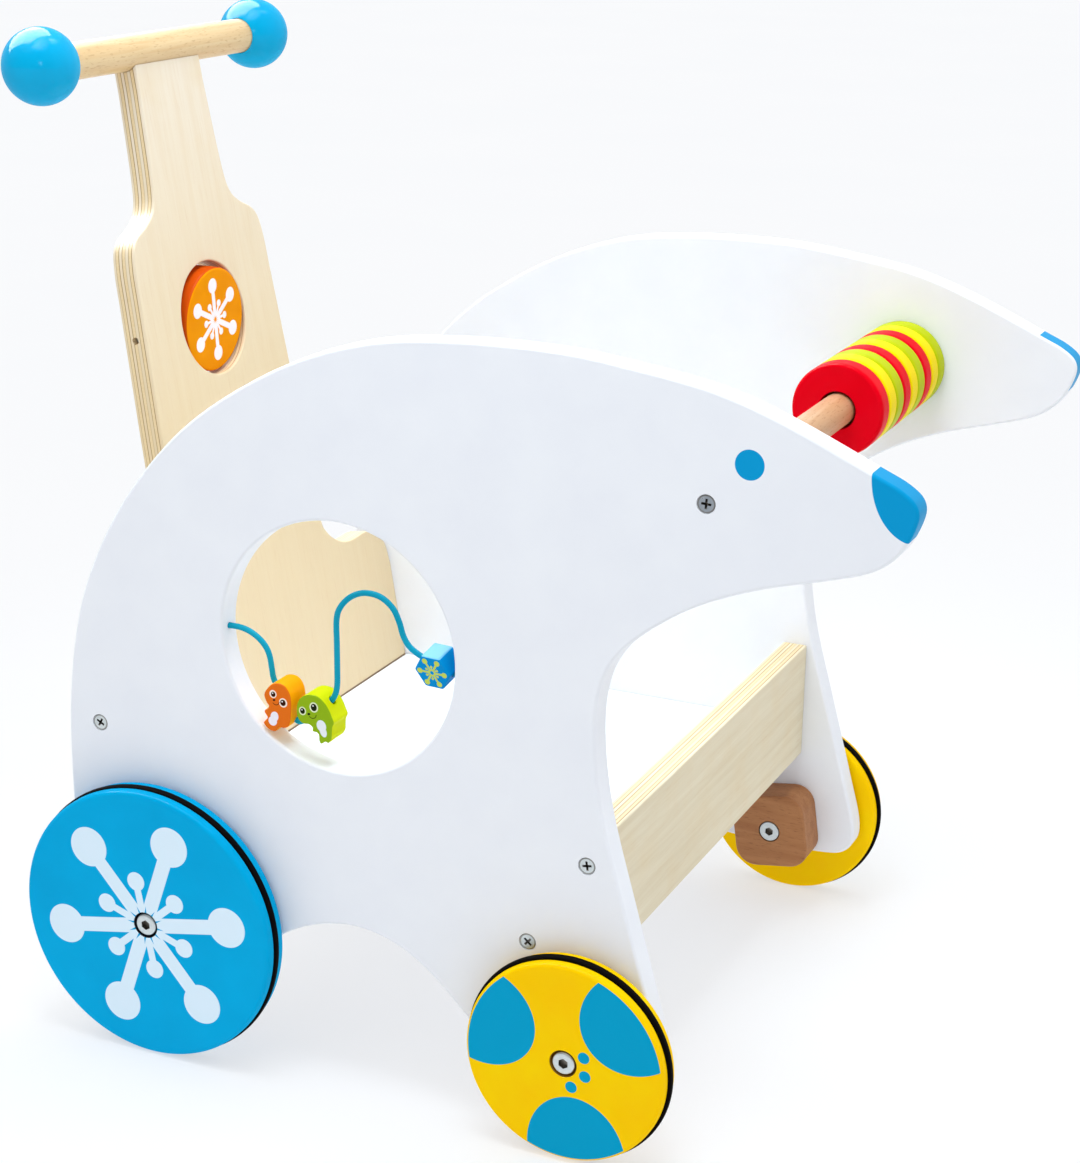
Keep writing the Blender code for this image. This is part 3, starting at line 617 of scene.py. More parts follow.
# millimetres along X from the nearer axle, and above the floor
BEAR_BACK = (
    (-24, 34), (-41, 40), (-49, 60), (-51, 105), (-50.5, 170), (-42.5, 221), (-27.5, 259), (-6.5, 292),
    (20, 321), (50, 343), (84, 361), (123, 373.2),
)
BEAR_FRONT = (
    (-61.2, 377.7), (-15.2, 378.2), (21.8, 374.5), (55.8, 369), (86.8, 359), (123.8, 343), (136.8, 337),
    (143.4, 331), (143.6, 323), (137.3, 310), (125.8, 300.8), (106.8, 294.3), (77.8, 286),
    (50.8, 274.5), (28.8, 259.8), (13.8, 244.5), (6.8, 227), (5.6, 202), (10.4, 167), (22.8, 122),
    (34.8, 80), (42.1, 51), (38.3, 38), (22.8, 33.8), (-20.2, 34), (-41.2, 37.5), (-57.2, 53),
)
BEAR_BELLY = (
    (148.5, 71.5), (130, 82.5), (110, 86.8), (90, 84), (70, 74.8), (50, 58.5), (30, 39.5), (10, 34),
)
SCREW_AT = {"rear": (-0.1646, 0.1667), "front": (0.0960, 0.1439), "tray": (0.06715, 0.0996),
            "rod": (0.1466, 0.3206)}
WIRE_Y = -(PANEL_OUT + PANEL_IN) / 2
WIRE_R = 0.0014
# millimetres about the window's centre
WIRE = (
    (-62, 0), (-55, 0), (-49.8, -1.2), (-44.9, -3.9), (-41.2, -7.6), (-39.2, -12), (-38.2, -18),
    (-37.2, -23.2), (-33.7, -29), (-30.2, -34.8), (-26.9, -40.2), (-24.4, -42.2), (-21.4, -41.3),
    (-16, -37), (-10.8, -32.8), (-6.6, -29), (-4, -24.8), (-3, -19.5), (-2.9, -12), (-2.9, 0),
    (-2.9, 11.5), (-1, 18), (4.3, 23.9), (11.6, 27.2), (19.9, 26.7), (26.4, 22.3), (29.8, 16),
    (31.8, 9.8), (35, 5), (40.5, 1.6), (48, -0.9), (55, -3.2), (61.5, -5.3),
)


def in_window(point, y=WIRE_Y):
    """From millimetres about the window's centre to the frame."""
    return Vector((WINDOW[0] + point[0] * MM, y, WINDOW[1] + point[1] * MM))


bear = []
for axle_x, points in ((REAR_X, BEAR_BACK), (FRONT_X, BEAR_FRONT), (REAR_X, BEAR_BELLY)):
    bear += [(axle_x + x * MM, z * MM) for x, z in points]
bear = smooth_path(bear, 6, True)
print("bear outline points", len(bear))

# %% Side panels
ROUTER = 1.6 * MM
AXLE_HOLE_R = 0.0043
DRILL_IN, DRILL_OUT = 0.12, 0.17          # a drill starts and ends clear of the panel
WIRE_HOLE = (-0.004, 0.006)               # before and past the wire's end in the rim
# countersink and screw hole: distance from the middle plane, and radius
SINK = ((0.1520, 0.0), (0.1520, 0.0043), (0.1504, 0.0043), (0.1479, 0.0020), (0.1365, 0.0020), (0.1365, 0.0))


def through_panel(x, z, side, radius, steps):
    """Drill path right through the panel on one side."""
    return bit((x, side * DRILL_IN, z), (x, side * DRILL_OUT, z), radius, steps)


panels = {}
for name, side in SIDES:
    panel = cut_board("panel_" + name, [(p.x, side * PANEL_IN, p.y) for p in bear],
                      (0.0, side * (PANEL_OUT - PANEL_IN), 0.0))
    drill(panel, through_panel(*WINDOW, side, WINDOW_R, 128))
    ease(panel, ROUTER, 4)
    for screw in SCREW_AT.values():
        drill(panel, turn_piece("sink", [(side * a, r) for a, r in SINK], 32, screw, closed=False))
    for x, z in ((REAR_X, REAR_Z), (FRONT_X, FRONT_Z)):
        drill(panel, through_panel(x, z, side, AXLE_HOLE_R, 32))
    if name == "right":
        for end, beside in ((WIRE[0], WIRE[1]), (WIRE[-1], WIRE[-2])):
            way = (in_window(end) - in_window(beside)).normalized()
            drill(panel, bit(*(in_window(end) + way * off for off in WIRE_HOLE), WIRE_R + GAP, 24))
    smooth(panel)
    panels[name] = panel
print("panel faces", len(panels["right"].data.polygons))

# %% [markdown]
# ## Finish: white lacquer
#
# The sides are board under several sprayed coats of white satin lacquer, sanded between the
# coats. That gives an even white with a cool cast, a soft sheen and very fine peel. The eye
# and the nose are printed in blue: the eye only on the outer face, the nose on the outer face
# and round the edge.

# %% White lacquer
EYE, EYE_HALF = (REAR_X + 0.2971, 0.3399), (6.5 * MM, 6.6 * MM)
NOSE, NOSE_HALF = (REAR_X + 0.3690, 0.3427), (20.0 * MM, 27.5 * MM)
BEAR_BLUE = "#0098D2"
prints = []
for (x, z), half, limit in ((EYE, EYE_HALF, PANEL_OUT - 0.5 * MM), (NOSE, NOSE_HALF, PANEL_IN + 1.2 * MM)):
    patch = spots((x, 0.0, z), "xz", ((0.0, 0.0, *half, 0.0),))
    prints.append((outer_only(patch, limit), BEAR_BLUE))
lacquer = enamel("white_satin_lacquer", "#F0F3F8", "#EDF0F6", prints, rough=(0.36, 0.46), peel=0.06,
                 shine=0.03, coat=0.08)
for name, panel in panels.items():
    dress(panel, "frame", "white_lacquer", lacquer, name + "_side_panel")
print("white lacquer on", list(panels))

# %% [markdown]
# ## Finish: birch plywood
#
# Plywood is a stack of thin sheets of wood, each turned across the one below. A solid pattern
# does this as the real thing does: the depth in the board picks the sheet, so a sawn edge
# shows pale and tan stripes with dark glue lines between them, and the faces show only the
# outer sheet, with its long faint fibres and soft clouds. The board is rubbed with a thin
# clear lacquer, so it is smooth but hardly shines.

# %% Birch plywood
PLY_T = 0.0135
SHEETS = 7
SKIN = 0.1 * MM            # keeps a face inside its outer sheet
GLUE_IN = 1.2 * MM         # glue lines show only this far below a face
FIBRE, FIGURE, CLOUD = per(0.9), per(6), per(24)
GRAIN = 0.05               # a fibre is twenty times as long as it is wide


def plywood(name, at, tilt, light, deep, grain_axis, shade_heights=None, shadow_line_at=None):
    """Plywood whose local X runs through the thickness, and whose grain runs along Y or Z.

    It can take painted shade, a warmer tone that fades in between two heights, and a painted shadow line at a
    height on its front."""
    finish, tree, shader, place = new_finish(name)
    local = add(tree, "Mapping", {"Vector": place, "Location": at, "Rotation": tilt}, vector_type="TEXTURE")
    stretch = [(1.0, GRAIN, 1.0), (1.0, 1.0, GRAIN)]
    along, cross = stretch if grain_axis == "Y" else reversed(stretch)
    drawn = add(tree, "Mapping", {"Vector": local, "Scale": along})
    turned = add(tree, "Mapping", {"Vector": local, "Scale": cross})
    fibre = add(tree, "TexNoise", {"Vector": drawn, "Scale": FIBRE, "Detail": 4.0, "Roughness": 0.6})
    figure = add(tree, "TexNoise", {"Vector": drawn, "Scale": FIGURE, "Detail": 3.0, "Distortion": 0.6})
    cloud = add(tree, "TexNoise", {"Vector": local, "Scale": CLOUD, "Detail": 2.0})
    ends = add(tree, "TexNoise", {"Vector": turned, "Scale": FIBRE, "Detail": 3.0})

    streak = add(tree, "MapRange", {"Value": figure, "From Min": 0.35, "From Max": 0.7})
    face = add(tree, "Mix", {0: streak, 6: linear(light), 7: linear(deep)}, 2, data_type="RGBA")
    warm = add(tree, "MapRange", {"Value": cloud, "From Min": 0.45, "From Max": 0.75, "To Max": 0.25})
    # Painted shade: the face turns warmer and darker between two heights, low down between the sides.
    if shade_heights:
        height = add(tree, "SeparateXYZ", {0: local}, "Z")
        low_shade = add(tree, "MapRange", {"Value": height, "From Min": shade_heights[0], "From Max": shade_heights[1],
                                     "To Max": 0.7})
        warm = pick(tree, "MAXIMUM", warm, low_shade)
    face = add(tree, "Mix", {0: warm, 6: face, 7: linear("#E0C795")}, 2, data_type="RGBA")
    pores = add(tree, "MapRange", {"Value": fibre, "From Min": 0.56, "From Max": 0.74, "To Max": 0.20})
    face = add(tree, "Mix", {0: pores, 6: face, 7: linear("#CFA873")}, 2, data_type="RGBA")

    depth = add(tree, "SeparateXYZ", {0: local}, "X")
    level = add(tree, "MapRange", {"Value": depth, "From Min": -PLY_T / 2 - SKIN,
                                   "From Max": PLY_T / 2 + SKIN, "To Max": float(SHEETS)})
    sheet = add(tree, "Math", {0: level}, operation="FLOOR")
    odd = add(tree, "Math", {0: sheet, 1: 2.0}, operation="MODULO")
    tan = add(tree, "Mix", {0: ends, 6: linear("#F0DDB2"), 7: linear("#E0C48E")}, 2, data_type="RGBA")
    stack = add(tree, "Mix", {0: odd, 6: face, 7: tan}, 2, data_type="RGBA")

    within = add(tree, "Math", {0: level, 1: 0.5}, operation="PINGPONG")
    line = add(tree, "MapRange", {"Value": within, "From Min": 0.07, "From Max": 0.16,
                                  "To Min": 1.0, "To Max": 0.0})
    joint = add(tree, "Math", {0: level}, operation="ROUND")
    dark = add(tree, "TexWhiteNoise", {"W": joint}, "Value", noise_dimensions="1D")
    dark = add(tree, "MapRange", {"Value": dark, "To Min": 0.35, "To Max": 0.95})
    inner = add(tree, "Math", {0: away(tree, local, "X"), 1: PLY_T / 2 - GLUE_IN}, operation="LESS_THAN")
    glue = add(tree, "Math", {0: line, 1: inner}, operation="MULTIPLY")
    glue = add(tree, "Math", {0: glue, 1: dark}, operation="MULTIPLY")
    stack = add(tree, "Mix", {0: glue, 6: stack, 7: linear("#A47A42")}, 2, data_type="RGBA")
    # Painted shadow line on the front face, where the tray's floor meets the post.
    if shadow_line_at is not None:
        shade = add(tree, "MapRange", {"Value": away(tree, place, "Z", shadow_line_at), "From Min": 0.35 * MM,
                                       "From Max": 0.7 * MM, "To Min": 0.85, "To Max": 0.0})
        front = add(tree, "Math", {0: depth, 1: 0.0}, operation="GREATER_THAN")
        shade = add(tree, "Math", {0: shade, 1: front}, operation="MULTIPLY")
        stack = add(tree, "Mix", {0: shade, 6: stack, 7: linear("#6E4A28")}, 2, data_type="RGBA")

    matt = add(tree, "MapRange", {"Value": fibre, "To Min": 0.42, "To Max": 0.62})
    relief = add(tree, "Bump", {"Height": fibre, "Strength": 0.25, "Distance": 0.08 * MM})
    fill(tree, shader, {"Base Color": stack, "Roughness": matt, "Normal": relief, "IOR": 1.48})
    return finish


print("plywood sheets", SHEETS)

# %% [markdown]
# ## Handle post
#
# The post is one leaning board: a wide foot between the sides, a shouldered body with a round hole for the
# spinner, and a neck with a saddle where the grip bar is glued. Half of the outline is listed and the other
# half is its mirror image. Its plywood gets painted shade, warmer and darker towards the foot, and a painted
# shadow line where the tray's floor meets it.

# %% Handle post
LEAN = math.radians(10.0)
POST_FOOT = 0.0734
POST_X, POST_Z = SCREW_AT["rear"]
BOARD_HALF = PANEL_IN - GAP
BAR_R, BAR_S = 0.0090, 0.3859
SPIN_S = BAR_S - 0.1401
SPIN_HOLE_R = 0.0297
PIN_HOLE_R, PIN_HOLE_END = 0.0019, 0.0443
PILOT_R, PILOT_IN, PILOT_OUT = 0.0020, 0.108, 0.14
SADDLE_CORNER = (0.0294, BAR_S - BAR_R * 0.45)
# millimetres across from the middle, and along the post from its foot
POST_HALF = (
    (137.2, 72.5), (133.5, 86.5), (119, 96.5), (92, 97.5), (74, 108), (68.7, 124.5), (66.5, 186.5),
    (62.8, 256.5), (61.2, 282.5), (56.5, 294.5), (43.5, 301.5), (36, 308.5), (32.6, 323.5),
    (29.6, 366.5),
)


def on_post(s, off=0.0, y=0.0):
    """Point of the leaning post: along it from its foot, off its middle plane, and across."""
    up = Vector((-math.sin(LEAN), 0.0, math.cos(LEAN)))
    out = Vector((math.cos(LEAN), 0.0, math.sin(LEAN)))
    return Vector((POST_X, y, POST_Z)) + up * (s - POST_FOOT) + out * off


def pilots(screw):
    """Drill paths for a pair of screws that come in from the two sides."""
    x, z = SCREW_AT[screw]
    return [bit((x, side * PILOT_OUT, z), (x, side * PILOT_IN, z), PILOT_R, 24) for _, side in SIDES]


half = smooth_path([(y * MM, s * MM) for y, s in POST_HALF], 6, False)
half[0].x = BOARD_HALF
half = [Vector((BOARD_HALF, 0.0))] + half + [Vector(SADDLE_CORNER)]
outline = half + [Vector((-p.x, p.y)) for p in reversed(half)]
post = cut_board("handle_post_board", [on_post(p.y, -PLY_T / 2, p.x) for p in outline],
                 PLY_T * Vector((math.cos(LEAN), 0.0, math.sin(LEAN))))
drill(post, bit(on_post(SPIN_S, -0.05), on_post(SPIN_S, 0.05), SPIN_HOLE_R, 96))
ease(post, 0.9 * MM, 3)
bar_at, spin_at = on_post(BAR_S), on_post(SPIN_S)
drill(post, bit(on_post(BAR_S, y=-0.06), on_post(BAR_S, y=0.06), BAR_R + GAP, 64),
      bit(on_post(SPIN_S, y=-0.09), on_post(SPIN_S, y=PIN_HOLE_END), PIN_HOLE_R, 24), *pilots("rear"))
smooth(post)
# The post's plywood takes painted shade towards its foot and a painted shadow line at the tray's floor.
post_ply = plywood("birch_ply_post", on_post(0.0), (0.0, -LEAN, 0.0), "#EEE2CD", "#EADBC2", "Z", (0.37, 0.20),
                   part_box("tray_floor")[1].z)
dress(post, "frame", "plywood", post_ply, "handle_post")
print("post faces", len(post.data.polygons))

# %% [markdown]
# ## Front board and tray floor
#
# A plywood board joins the front legs. Behind its lower edge a white board lies flat and
# reaches back to the post: the floor of a tray for other toys. The front board is a cube set
# to size. The floor is cut to a section whose back edge follows the lean of the post.
# The edges of both are broken by sandpaper.

# %% Front board and tray floor
board_low, board_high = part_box("front_board")
tray_low, tray_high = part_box("tray_floor")
start_clean()
bpy.ops.mesh.primitive_cube_add(size=1.0)
front_board = bpy.context.object
front_board.name = "front_board_ply"
front_board.scale = board_high - board_low
front_board.location = (board_high + board_low) / 2
bpy.ops.object.transform_apply(location=True, rotation=True, scale=True)
ease(front_board, 0.7 * MM, 3)

slant = (tray_high.z - tray_low.z) * math.tan(LEAN)
tray = cut_board("tray_floor_board", [(x, tray_low.y, z) for x, z in (
    (tray_low.x + slant, tray_low.z), (tray_high.x, tray_low.z), (tray_high.x, tray_high.z),
    (tray_low.x, tray_high.z))], (0.0, tray_high.y - tray_low.y, 0.0))
ease(tray, 0.5 * MM, 3)

# The front board's tones are darker than the post's: painted shade for a board that stands low and faces
# ahead.
shaded_board_ply = plywood("birch_ply_front_board", (SCREW_AT["front"][0], 0.0, 0.0), (0.0, 0.0, 0.0),
                    "#E7DDC1", "#DDD0B0", "Y")
for ob, slot, finish, node, screw in ((front_board, "plywood", shaded_board_ply, "front_board", "front"),
                                      (tray, "white_lacquer", lacquer, "tray_floor", "tray")):
    drill(ob, *pilots(screw))
    smooth(ob)
    dress(ob, "frame", slot, finish, node)
print("front board", [round(1000 * c, 1) for c in board_high - board_low])

# %% [markdown]
# ## Finish: beech
#
# The bar and the rod are beech dowels. Beech is a warm pinkish tan with rings that show as
# faint bands along the dowel, and thousands of short darker flecks a few millimetres long.
# A clear lacquer deepens the colour and gives a soft gloss.

# %% Beech
def beech(name, light, deep, fleck):
    """Beech with its grain along Y."""
    finish, tree, shader, place = new_finish(name)
    drawn = add(tree, "Mapping", {"Vector": place, "Scale": (1.0, 0.06, 1.0)})
    rings = add(tree, "TexNoise", {"Vector": drawn, "Scale": per(5), "Detail": 3.0, "Distortion": 0.8})
    band = add(tree, "MapRange", {"Value": rings, "From Min": 0.35, "From Max": 0.68})
    colour = add(tree, "Mix", {0: band, 6: linear(light), 7: linear(deep)}, 2, data_type="RGBA")
    dashes = add(tree, "Mapping", {"Vector": place, "Scale": (1.0, 0.16, 1.0)})
    flecks = add(tree, "TexNoise", {"Vector": dashes, "Scale": per(0.7), "Detail": 1.0})
    marks = add(tree, "MapRange", {"Value": flecks, "From Min": 0.60, "From Max": 0.70, "To Max": 0.45})
    colour = add(tree, "Mix", {0: marks, 6: colour, 7: linear(fleck)}, 2, data_type="RGBA")
    sheen = add(tree, "MapRange", {"Value": flecks, "To Min": 0.34, "To Max": 0.50})
    relief = add(tree, "Bump", {"Height": flecks, "Strength": 0.2, "Distance": 0.06 * MM})
    fill(tree, shader, {"Base Color": colour, "Roughness": sheen, "Normal": relief, "IOR": 1.5,
                        "Coat Weight": 0.15, "Coat Roughness": 0.2})
    return finish


beech_bar = beech("beech_bar", "#E9CD9B", "#DDB880", "#BC8C56")
beech_rod = beech("beech_rod", "#CBA57D", "#BE8F60", "#A26B3C")
print("beech finishes", beech_bar.name, beech_rod.name)

# %% [markdown]
# ## Grip bar, balls and disc rod
#
# The bar and the rod are turned dowels with chamfered ends. The balls are turned too: a round
# section that stops at the mouth of the hole, which is drilled for the bar's end.

# %% Grip bar and disc rod
BAR_HALF = 0.1000
ROD_R = 0.0082
CHAMFER = 0.0008


def dowel(name, half, radius, at):
    """Turned stick with chamfered ends."""
    section = ((-half, 0.0), (-half, radius - CHAMFER), (-half + CHAMFER, radius), (half - CHAMFER, radius),
               (half, radius - CHAMFER), (half, 0.0))
    ob = turn_piece(name, section, 64, at, closed=False)
    smooth(ob)
    return ob


bar = dowel("grip_bar", BAR_HALF, BAR_R, (bar_at.x, bar_at.z))
dress(bar, "frame", "dowel_wood", beech_bar, "handle_bar")
rod_at = SCREW_AT["rod"]
rod = dowel("disc_rod", BOARD_HALF, ROD_R, rod_at)
drill(rod, *pilots("rod"))
smooth(rod)
dress(rod, "frame", "dowel_wood", beech_rod, "bead_rod")
print("bar of %.0f mm, rod of %.1f mm" % (2000 * BAR_HALF, 2000 * BOARD_HALF))

# %% Balls
BALL_R, BALL_Y = 0.0187, 0.0970
BALL_STEPS = 28
ball_blue = enamel("ball_blue_enamel", "#00AEDF", "#00A4D6", coat=0.3)
lip = BAR_R + GAP
bottom = BALL_Y - BAR_HALF - GAP
sweep = math.pi - math.asin(lip / BALL_R)
angles = [sweep * k / BALL_STEPS for k in range(BALL_STEPS + 1)]
section = [(-BALL_R * math.cos(angle), BALL_R * math.sin(angle)) for angle in angles]
master = turn_piece("ball_master", section + [(bottom, lip), (bottom, 0.0)], 64, closed=False)
smooth(master, 40.0, False)
for name, side in SIDES:
    ball = copy_to(master, "grip_ball_" + name, side_matrix(side, bar_at.x, bar_at.z, side * BALL_Y))
    dress(ball, "frame", "ball_blue", ball_blue, name + "_handle_ball")
discard(master)
print("balls of %.1f mm" % (2000 * BALL_R))

# %% [markdown]
# ## Wheels and rubber rings
#
# Each wheel is a painted disc with a rounded rim, a groove for a rubber ring, a counterbore
# for the bolt's head and a low boss that keeps it off the panel. One section is listed as
# corners with a rounding each, and is spun about the axle. The rear wheels carry a snowflake,
# the front ones three lobes and three dots. The print's place follows the hub of each wheel.

# %% Wheels
WHEEL_FACE = 0.1675
WHEEL_T, WHEEL_OFF = 0.0143, 0.0022
GROOVE_W, GROOVE_D = 0.0046, 0.0020
SINK_R, SINK_D, BORE_R, BOSS_R = 0.0068, 0.0046, 0.0033, 0.0100
TYRE_ROUND = 0.0015
# axle's x and z, radius of the paint, and how far the rubber stands proud
AXLES = {"rear": (REAR_X, REAR_Z, 0.0702, 0.0009), "front": (FRONT_X, FRONT_Z, 0.0496, 0.0015)}


def wheel_section(radius):
    """Section of a wheel for the right side: along Y from the face inwards, and radius."""
    g0 = (WHEEL_T - GROOVE_W) / 2
    g1 = g0 + GROOVE_W
    back = WHEEL_T + WHEEL_OFF - GAP
    corners = ((0, SINK_R, 0.0004), (0, radius, 0.0024), (g0, radius, 0.0003), (g0, radius - GROOVE_D, 0),
               (g1, radius - GROOVE_D, 0), (g1, radius, 0.0003), (WHEEL_T, radius, 0.0021),
               (WHEEL_T, BOSS_R, 0.0004), (back, BOSS_R, 0.0004), (back, BORE_R, 0.0002),
               (SINK_D, BORE_R, 0.0002), (SINK_D, SINK_R, 0.0003))
    return [(a - WHEEL_FACE, r) for a, r in rounded(corners)]


def tyre_section(radius, proud):
    """Section of the rubber ring that fills the groove and stands proud of the rim."""
    mid = WHEEL_T / 2 - WHEEL_FACE
    wide = GROOVE_W / 2 - GAP
    low, high = radius - GROOVE_D + GAP, radius + proud
    return rounded(((mid - wide, low, 0.0003), (mid - wide, high, TYRE_ROUND),
                    (mid + wide, high, TYRE_ROUND), (mid + wide, low, 0.0003)))


wheels = {}
for axle, (x, z, radius, proud) in AXLES.items():
    masters = (turn_piece("wheel_master", wheel_section(radius), 128),
               turn_piece("tyre_master", tyre_section(radius, proud), 128))
    for master in masters:
        smooth(master)
    for name, side in SIDES:
        wheels[axle, name] = [copy_to(master, "%s_%s_%s" % (word, axle, name), side_matrix(side, x, z))
                              for master, word in zip(masters, ("wheel", "tyre"))]
    discard(*masters)
print("wheels", len(wheels))

# %% [markdown]
# ## Finish: wheel paint and rubber
#
# The prints lie on the outer face alone, and the paint stops at the counterbore, whose wall and floor get
# painted shade: near black on the rear wheels and brown on the front ones. Rubber is nearly black with a
# brown cast, dull, with fine mould grain and a little dust.

# %% Rubber
rubber, tree, shader, place = new_finish("black_rubber")
dust = add(tree, "TexNoise", {"Vector": place, "Scale": per(9), "Detail": 4.0})
dusty = add(tree, "MapRange", {"Value": dust, "From Min": 0.45, "From Max": 0.75})
colour = add(tree, "Mix", {0: dusty, 6: linear("#080505"), 7: linear("#100B0A")}, 2, data_type="RGBA")
dull = add(tree, "MapRange", {"Value": dust, "To Min": 0.55, "To Max": 0.8})
grit = add(tree, "TexNoise", {"Vector": place, "Scale": per(0.5), "Detail": 2.0})
bumps = add(tree, "Bump", {"Height": grit, "Strength": 0.3, "Distance": 0.05 * MM})
fill(tree, shader, {"Base Color": colour, "Roughness": dull, "Normal": bumps, "Specular IOR Level": 0.03})
print("rubber", rubber.name)

# %% Wheel paint
FACE_LIMIT = WHEEL_FACE - 1.0 * MM
SNOW_TURN, SNOW_SIZE, SNOW_HEART, SNOW_SPIKE = math.radians(11.0), 47.7 * MM, 5.0 * MM, 10.5 * MM
LOBE_TURN, LOBE_AT, LOBE_RIM = math.radians(39.4), 45 * MM, 48.3 * MM
LOBE_LONG, LOBE_WIDE = 28.4 * MM, 24.7 * MM
LOBE_BLUE = "#009ECB"
DOT_AT, DOT_R, DOT_ANGLES = 11.7 * MM, 2.9 * MM, (28.4, -19.3, -68.4)
dots = [(DOT_AT * math.cos(math.radians(a)), DOT_AT * math.sin(math.radians(a)), DOT_R, DOT_R, 0.0)
        for a in DOT_ANGLES]


def bore_shade(hub):
    """Painted shade on the wall and floor of the counterbore round the bolt's head."""
    def shape(tree, place):
        reach = reach_from(tree, place, hub, "xz")
        ring = add(tree, "Math", {0: SINK_R + 0.1 * MM, 1: reach}, operation="SUBTRACT")
        depth = away(tree, place, "Y")
        under = add(tree, "Math", {0: WHEEL_FACE - 0.35 * MM, 1: depth}, operation="SUBTRACT")
        return pick(tree, "MINIMUM", ring, under)
    return shape


for (axle, name), (wheel, tyre) in wheels.items():
    x, z = AXLES[axle][:2]
    hub = (x, 0.0, z)
    # The last colour of each set is painted shade for the counterbore: near black at the rear, brown at the
    # front.
    if axle == "rear":
        paint, light, deep, wall = "blue", "#00ACE3", "#00A5DC", "#2C2A32"
        flake = snowflake(hub, "xz", SNOW_TURN, SNOW_SIZE, SNOW_HEART, SNOW_SPIKE)
        prints = [(flake, "#DEF2FF")]
    else:
        paint, light, deep, wall = "yellow", "#FFD400", "#FFCA00", "#A87A30"
        trio = lobes(hub, "xz", LOBE_TURN, LOBE_AT, LOBE_LONG, LOBE_WIDE, LOBE_RIM)
        prints = [(trio, LOBE_BLUE), (spots(hub, "xz", dots), LOBE_BLUE)]
    prints = [(outer_only(shape, FACE_LIMIT), ink) for shape, ink in prints] + [(bore_shade(hub), wall)]
    finish = enamel("%s_wheel_enamel_%s" % (paint, name), light, deep, prints)
    node = "%s_%s" % (axle, name)
    dress(wheel, node + "_wheel_body", "wheel_" + paint, finish, node + "_wheel")
    dress(tyre, node + "_wheel_body", "rubber_black", rubber, node + "_tyre")
print("painted", len(wheels), "wheels")

# %% [markdown]
# ## Finish: bright zinc
#
# Bolts, nuts, screws and the spinner's pin are steel with zinc plating: a grey metal with a cool cast and
# slightly cloudy. The two screws of the rod get a darker copy of the plating. The sockets for the tools get
# painted shade, so their faces are marked on the mesh and the finish darkens them.

# %% Bright zinc
def plated(name, light, deep):
    """Zinc plating between two tones, with painted shade where the mesh is marked as a recess."""
    finish, tree, shader, place = new_finish(name)
    haze = add(tree, "TexNoise", {"Vector": place, "Scale": per(2.2), "Detail": 4.0})
    colour = add(tree, "Mix", {0: haze, 6: linear(light), 7: linear(deep)}, 2, data_type="RGBA")
    recess = add(tree, "Attribute", out="Fac", attribute_name="recess")
    # Painted shade in the tool sockets and crosses, and on the rims of screw heads.
    colour = add(tree, "Mix", {0: recess, 6: colour, 7: linear("#7A7670")}, 2, data_type="RGBA")
    blur = add(tree, "MapRange", {"Value": haze, "To Min": 0.22, "To Max": 0.42})
    marks = add(tree, "TexNoise", {"Vector": place, "Scale": per(0.4), "Detail": 2.0})
    dents = add(tree, "Bump", {"Height": marks, "Strength": 0.12, "Distance": 0.03 * MM})
    fill(tree, shader, {"Base Color": colour, "Roughness": blur, "Normal": dents, "Metallic": 1.0})
    return finish


def mark_recess(ob, radius, shallow, deep):
    """Mark the faces of a tool recess: near the axis, between two places along it."""
    recess = ob.data.attributes.new("recess", "FLOAT", "FACE")
    for face in ob.data.polygons:
        near = math.hypot(face.center.x, face.center.z) < radius
        recess.data[face.index].value = 1.0 if near and shallow < face.center.y < deep else 0.0


zinc = plated("zinc_plated_steel", "#DCE2E2", "#BCC5C8")
dark_zinc = plated("darker_zinc_rod_screws", "#A4ABB2", "#8A929A")
print("zinc finishes", zinc.name, dark_zinc.name)

# %% [markdown]
# ## Axle bolts, nuts and blocks
#
# Every wheel turns on a button-head bolt with a six-sided socket. The bolt runs into a sleeve
# nut with a wide head that sits in a hardwood block on the inner side of the panel. The heads
# are turned, and the socket is cut with a six-sided drill.

# %% Axle bolts and nuts
BOLT_R, HEAD_R, HEAD_T = 0.00295, 0.00575, 0.0040
SLEEVE_R, SLEEVE_HEAD_R, SLEEVE_HEAD_T = 0.0040, 0.0056, 0.0021
BOLT_KEY, NUT_KEY = (0.0026, 0.0022), (0.0025, 0.0030)      # radius and depth of the sockets
KEY_START = 0.001
BLOCK_T = 0.0220
METAL_ANGLE = 32.0
block_in = PANEL_IN - GAP - BLOCK_T
seat = WHEEL_FACE - SINK_D + GAP
head = seat + HEAD_T
tip = block_in + 0.0080
end = PANEL_OUT - 0.0015
well = tip - 0.0005


def turn_outward(name, corners, bits, steps):
    """Turn a piece of the right side from corners measured outwards from the middle plane."""
    return turn_piece(name, [(-a, r) for a, r in rounded(corners, bits)], steps, closed=False)


bolt_master = turn_outward("bolt_master", (
    (head, 0, 0), (head, HEAD_R, 0.0013), (seat, HEAD_R, 0.0002), (seat, BOLT_R, 0), (tip, BOLT_R, 0.0005),
    (tip, 0, 0)), 4, 48)
key_r, key_depth = BOLT_KEY
drill(bolt_master, bit((0, -head - KEY_START, 0), (0, -head + key_depth, 0), key_r, 6))
smooth(bolt_master, METAL_ANGLE)
mark_recess(bolt_master, key_r + 0.1 * MM, -head + 0.1 * MM, -head + key_depth + 0.3 * MM)

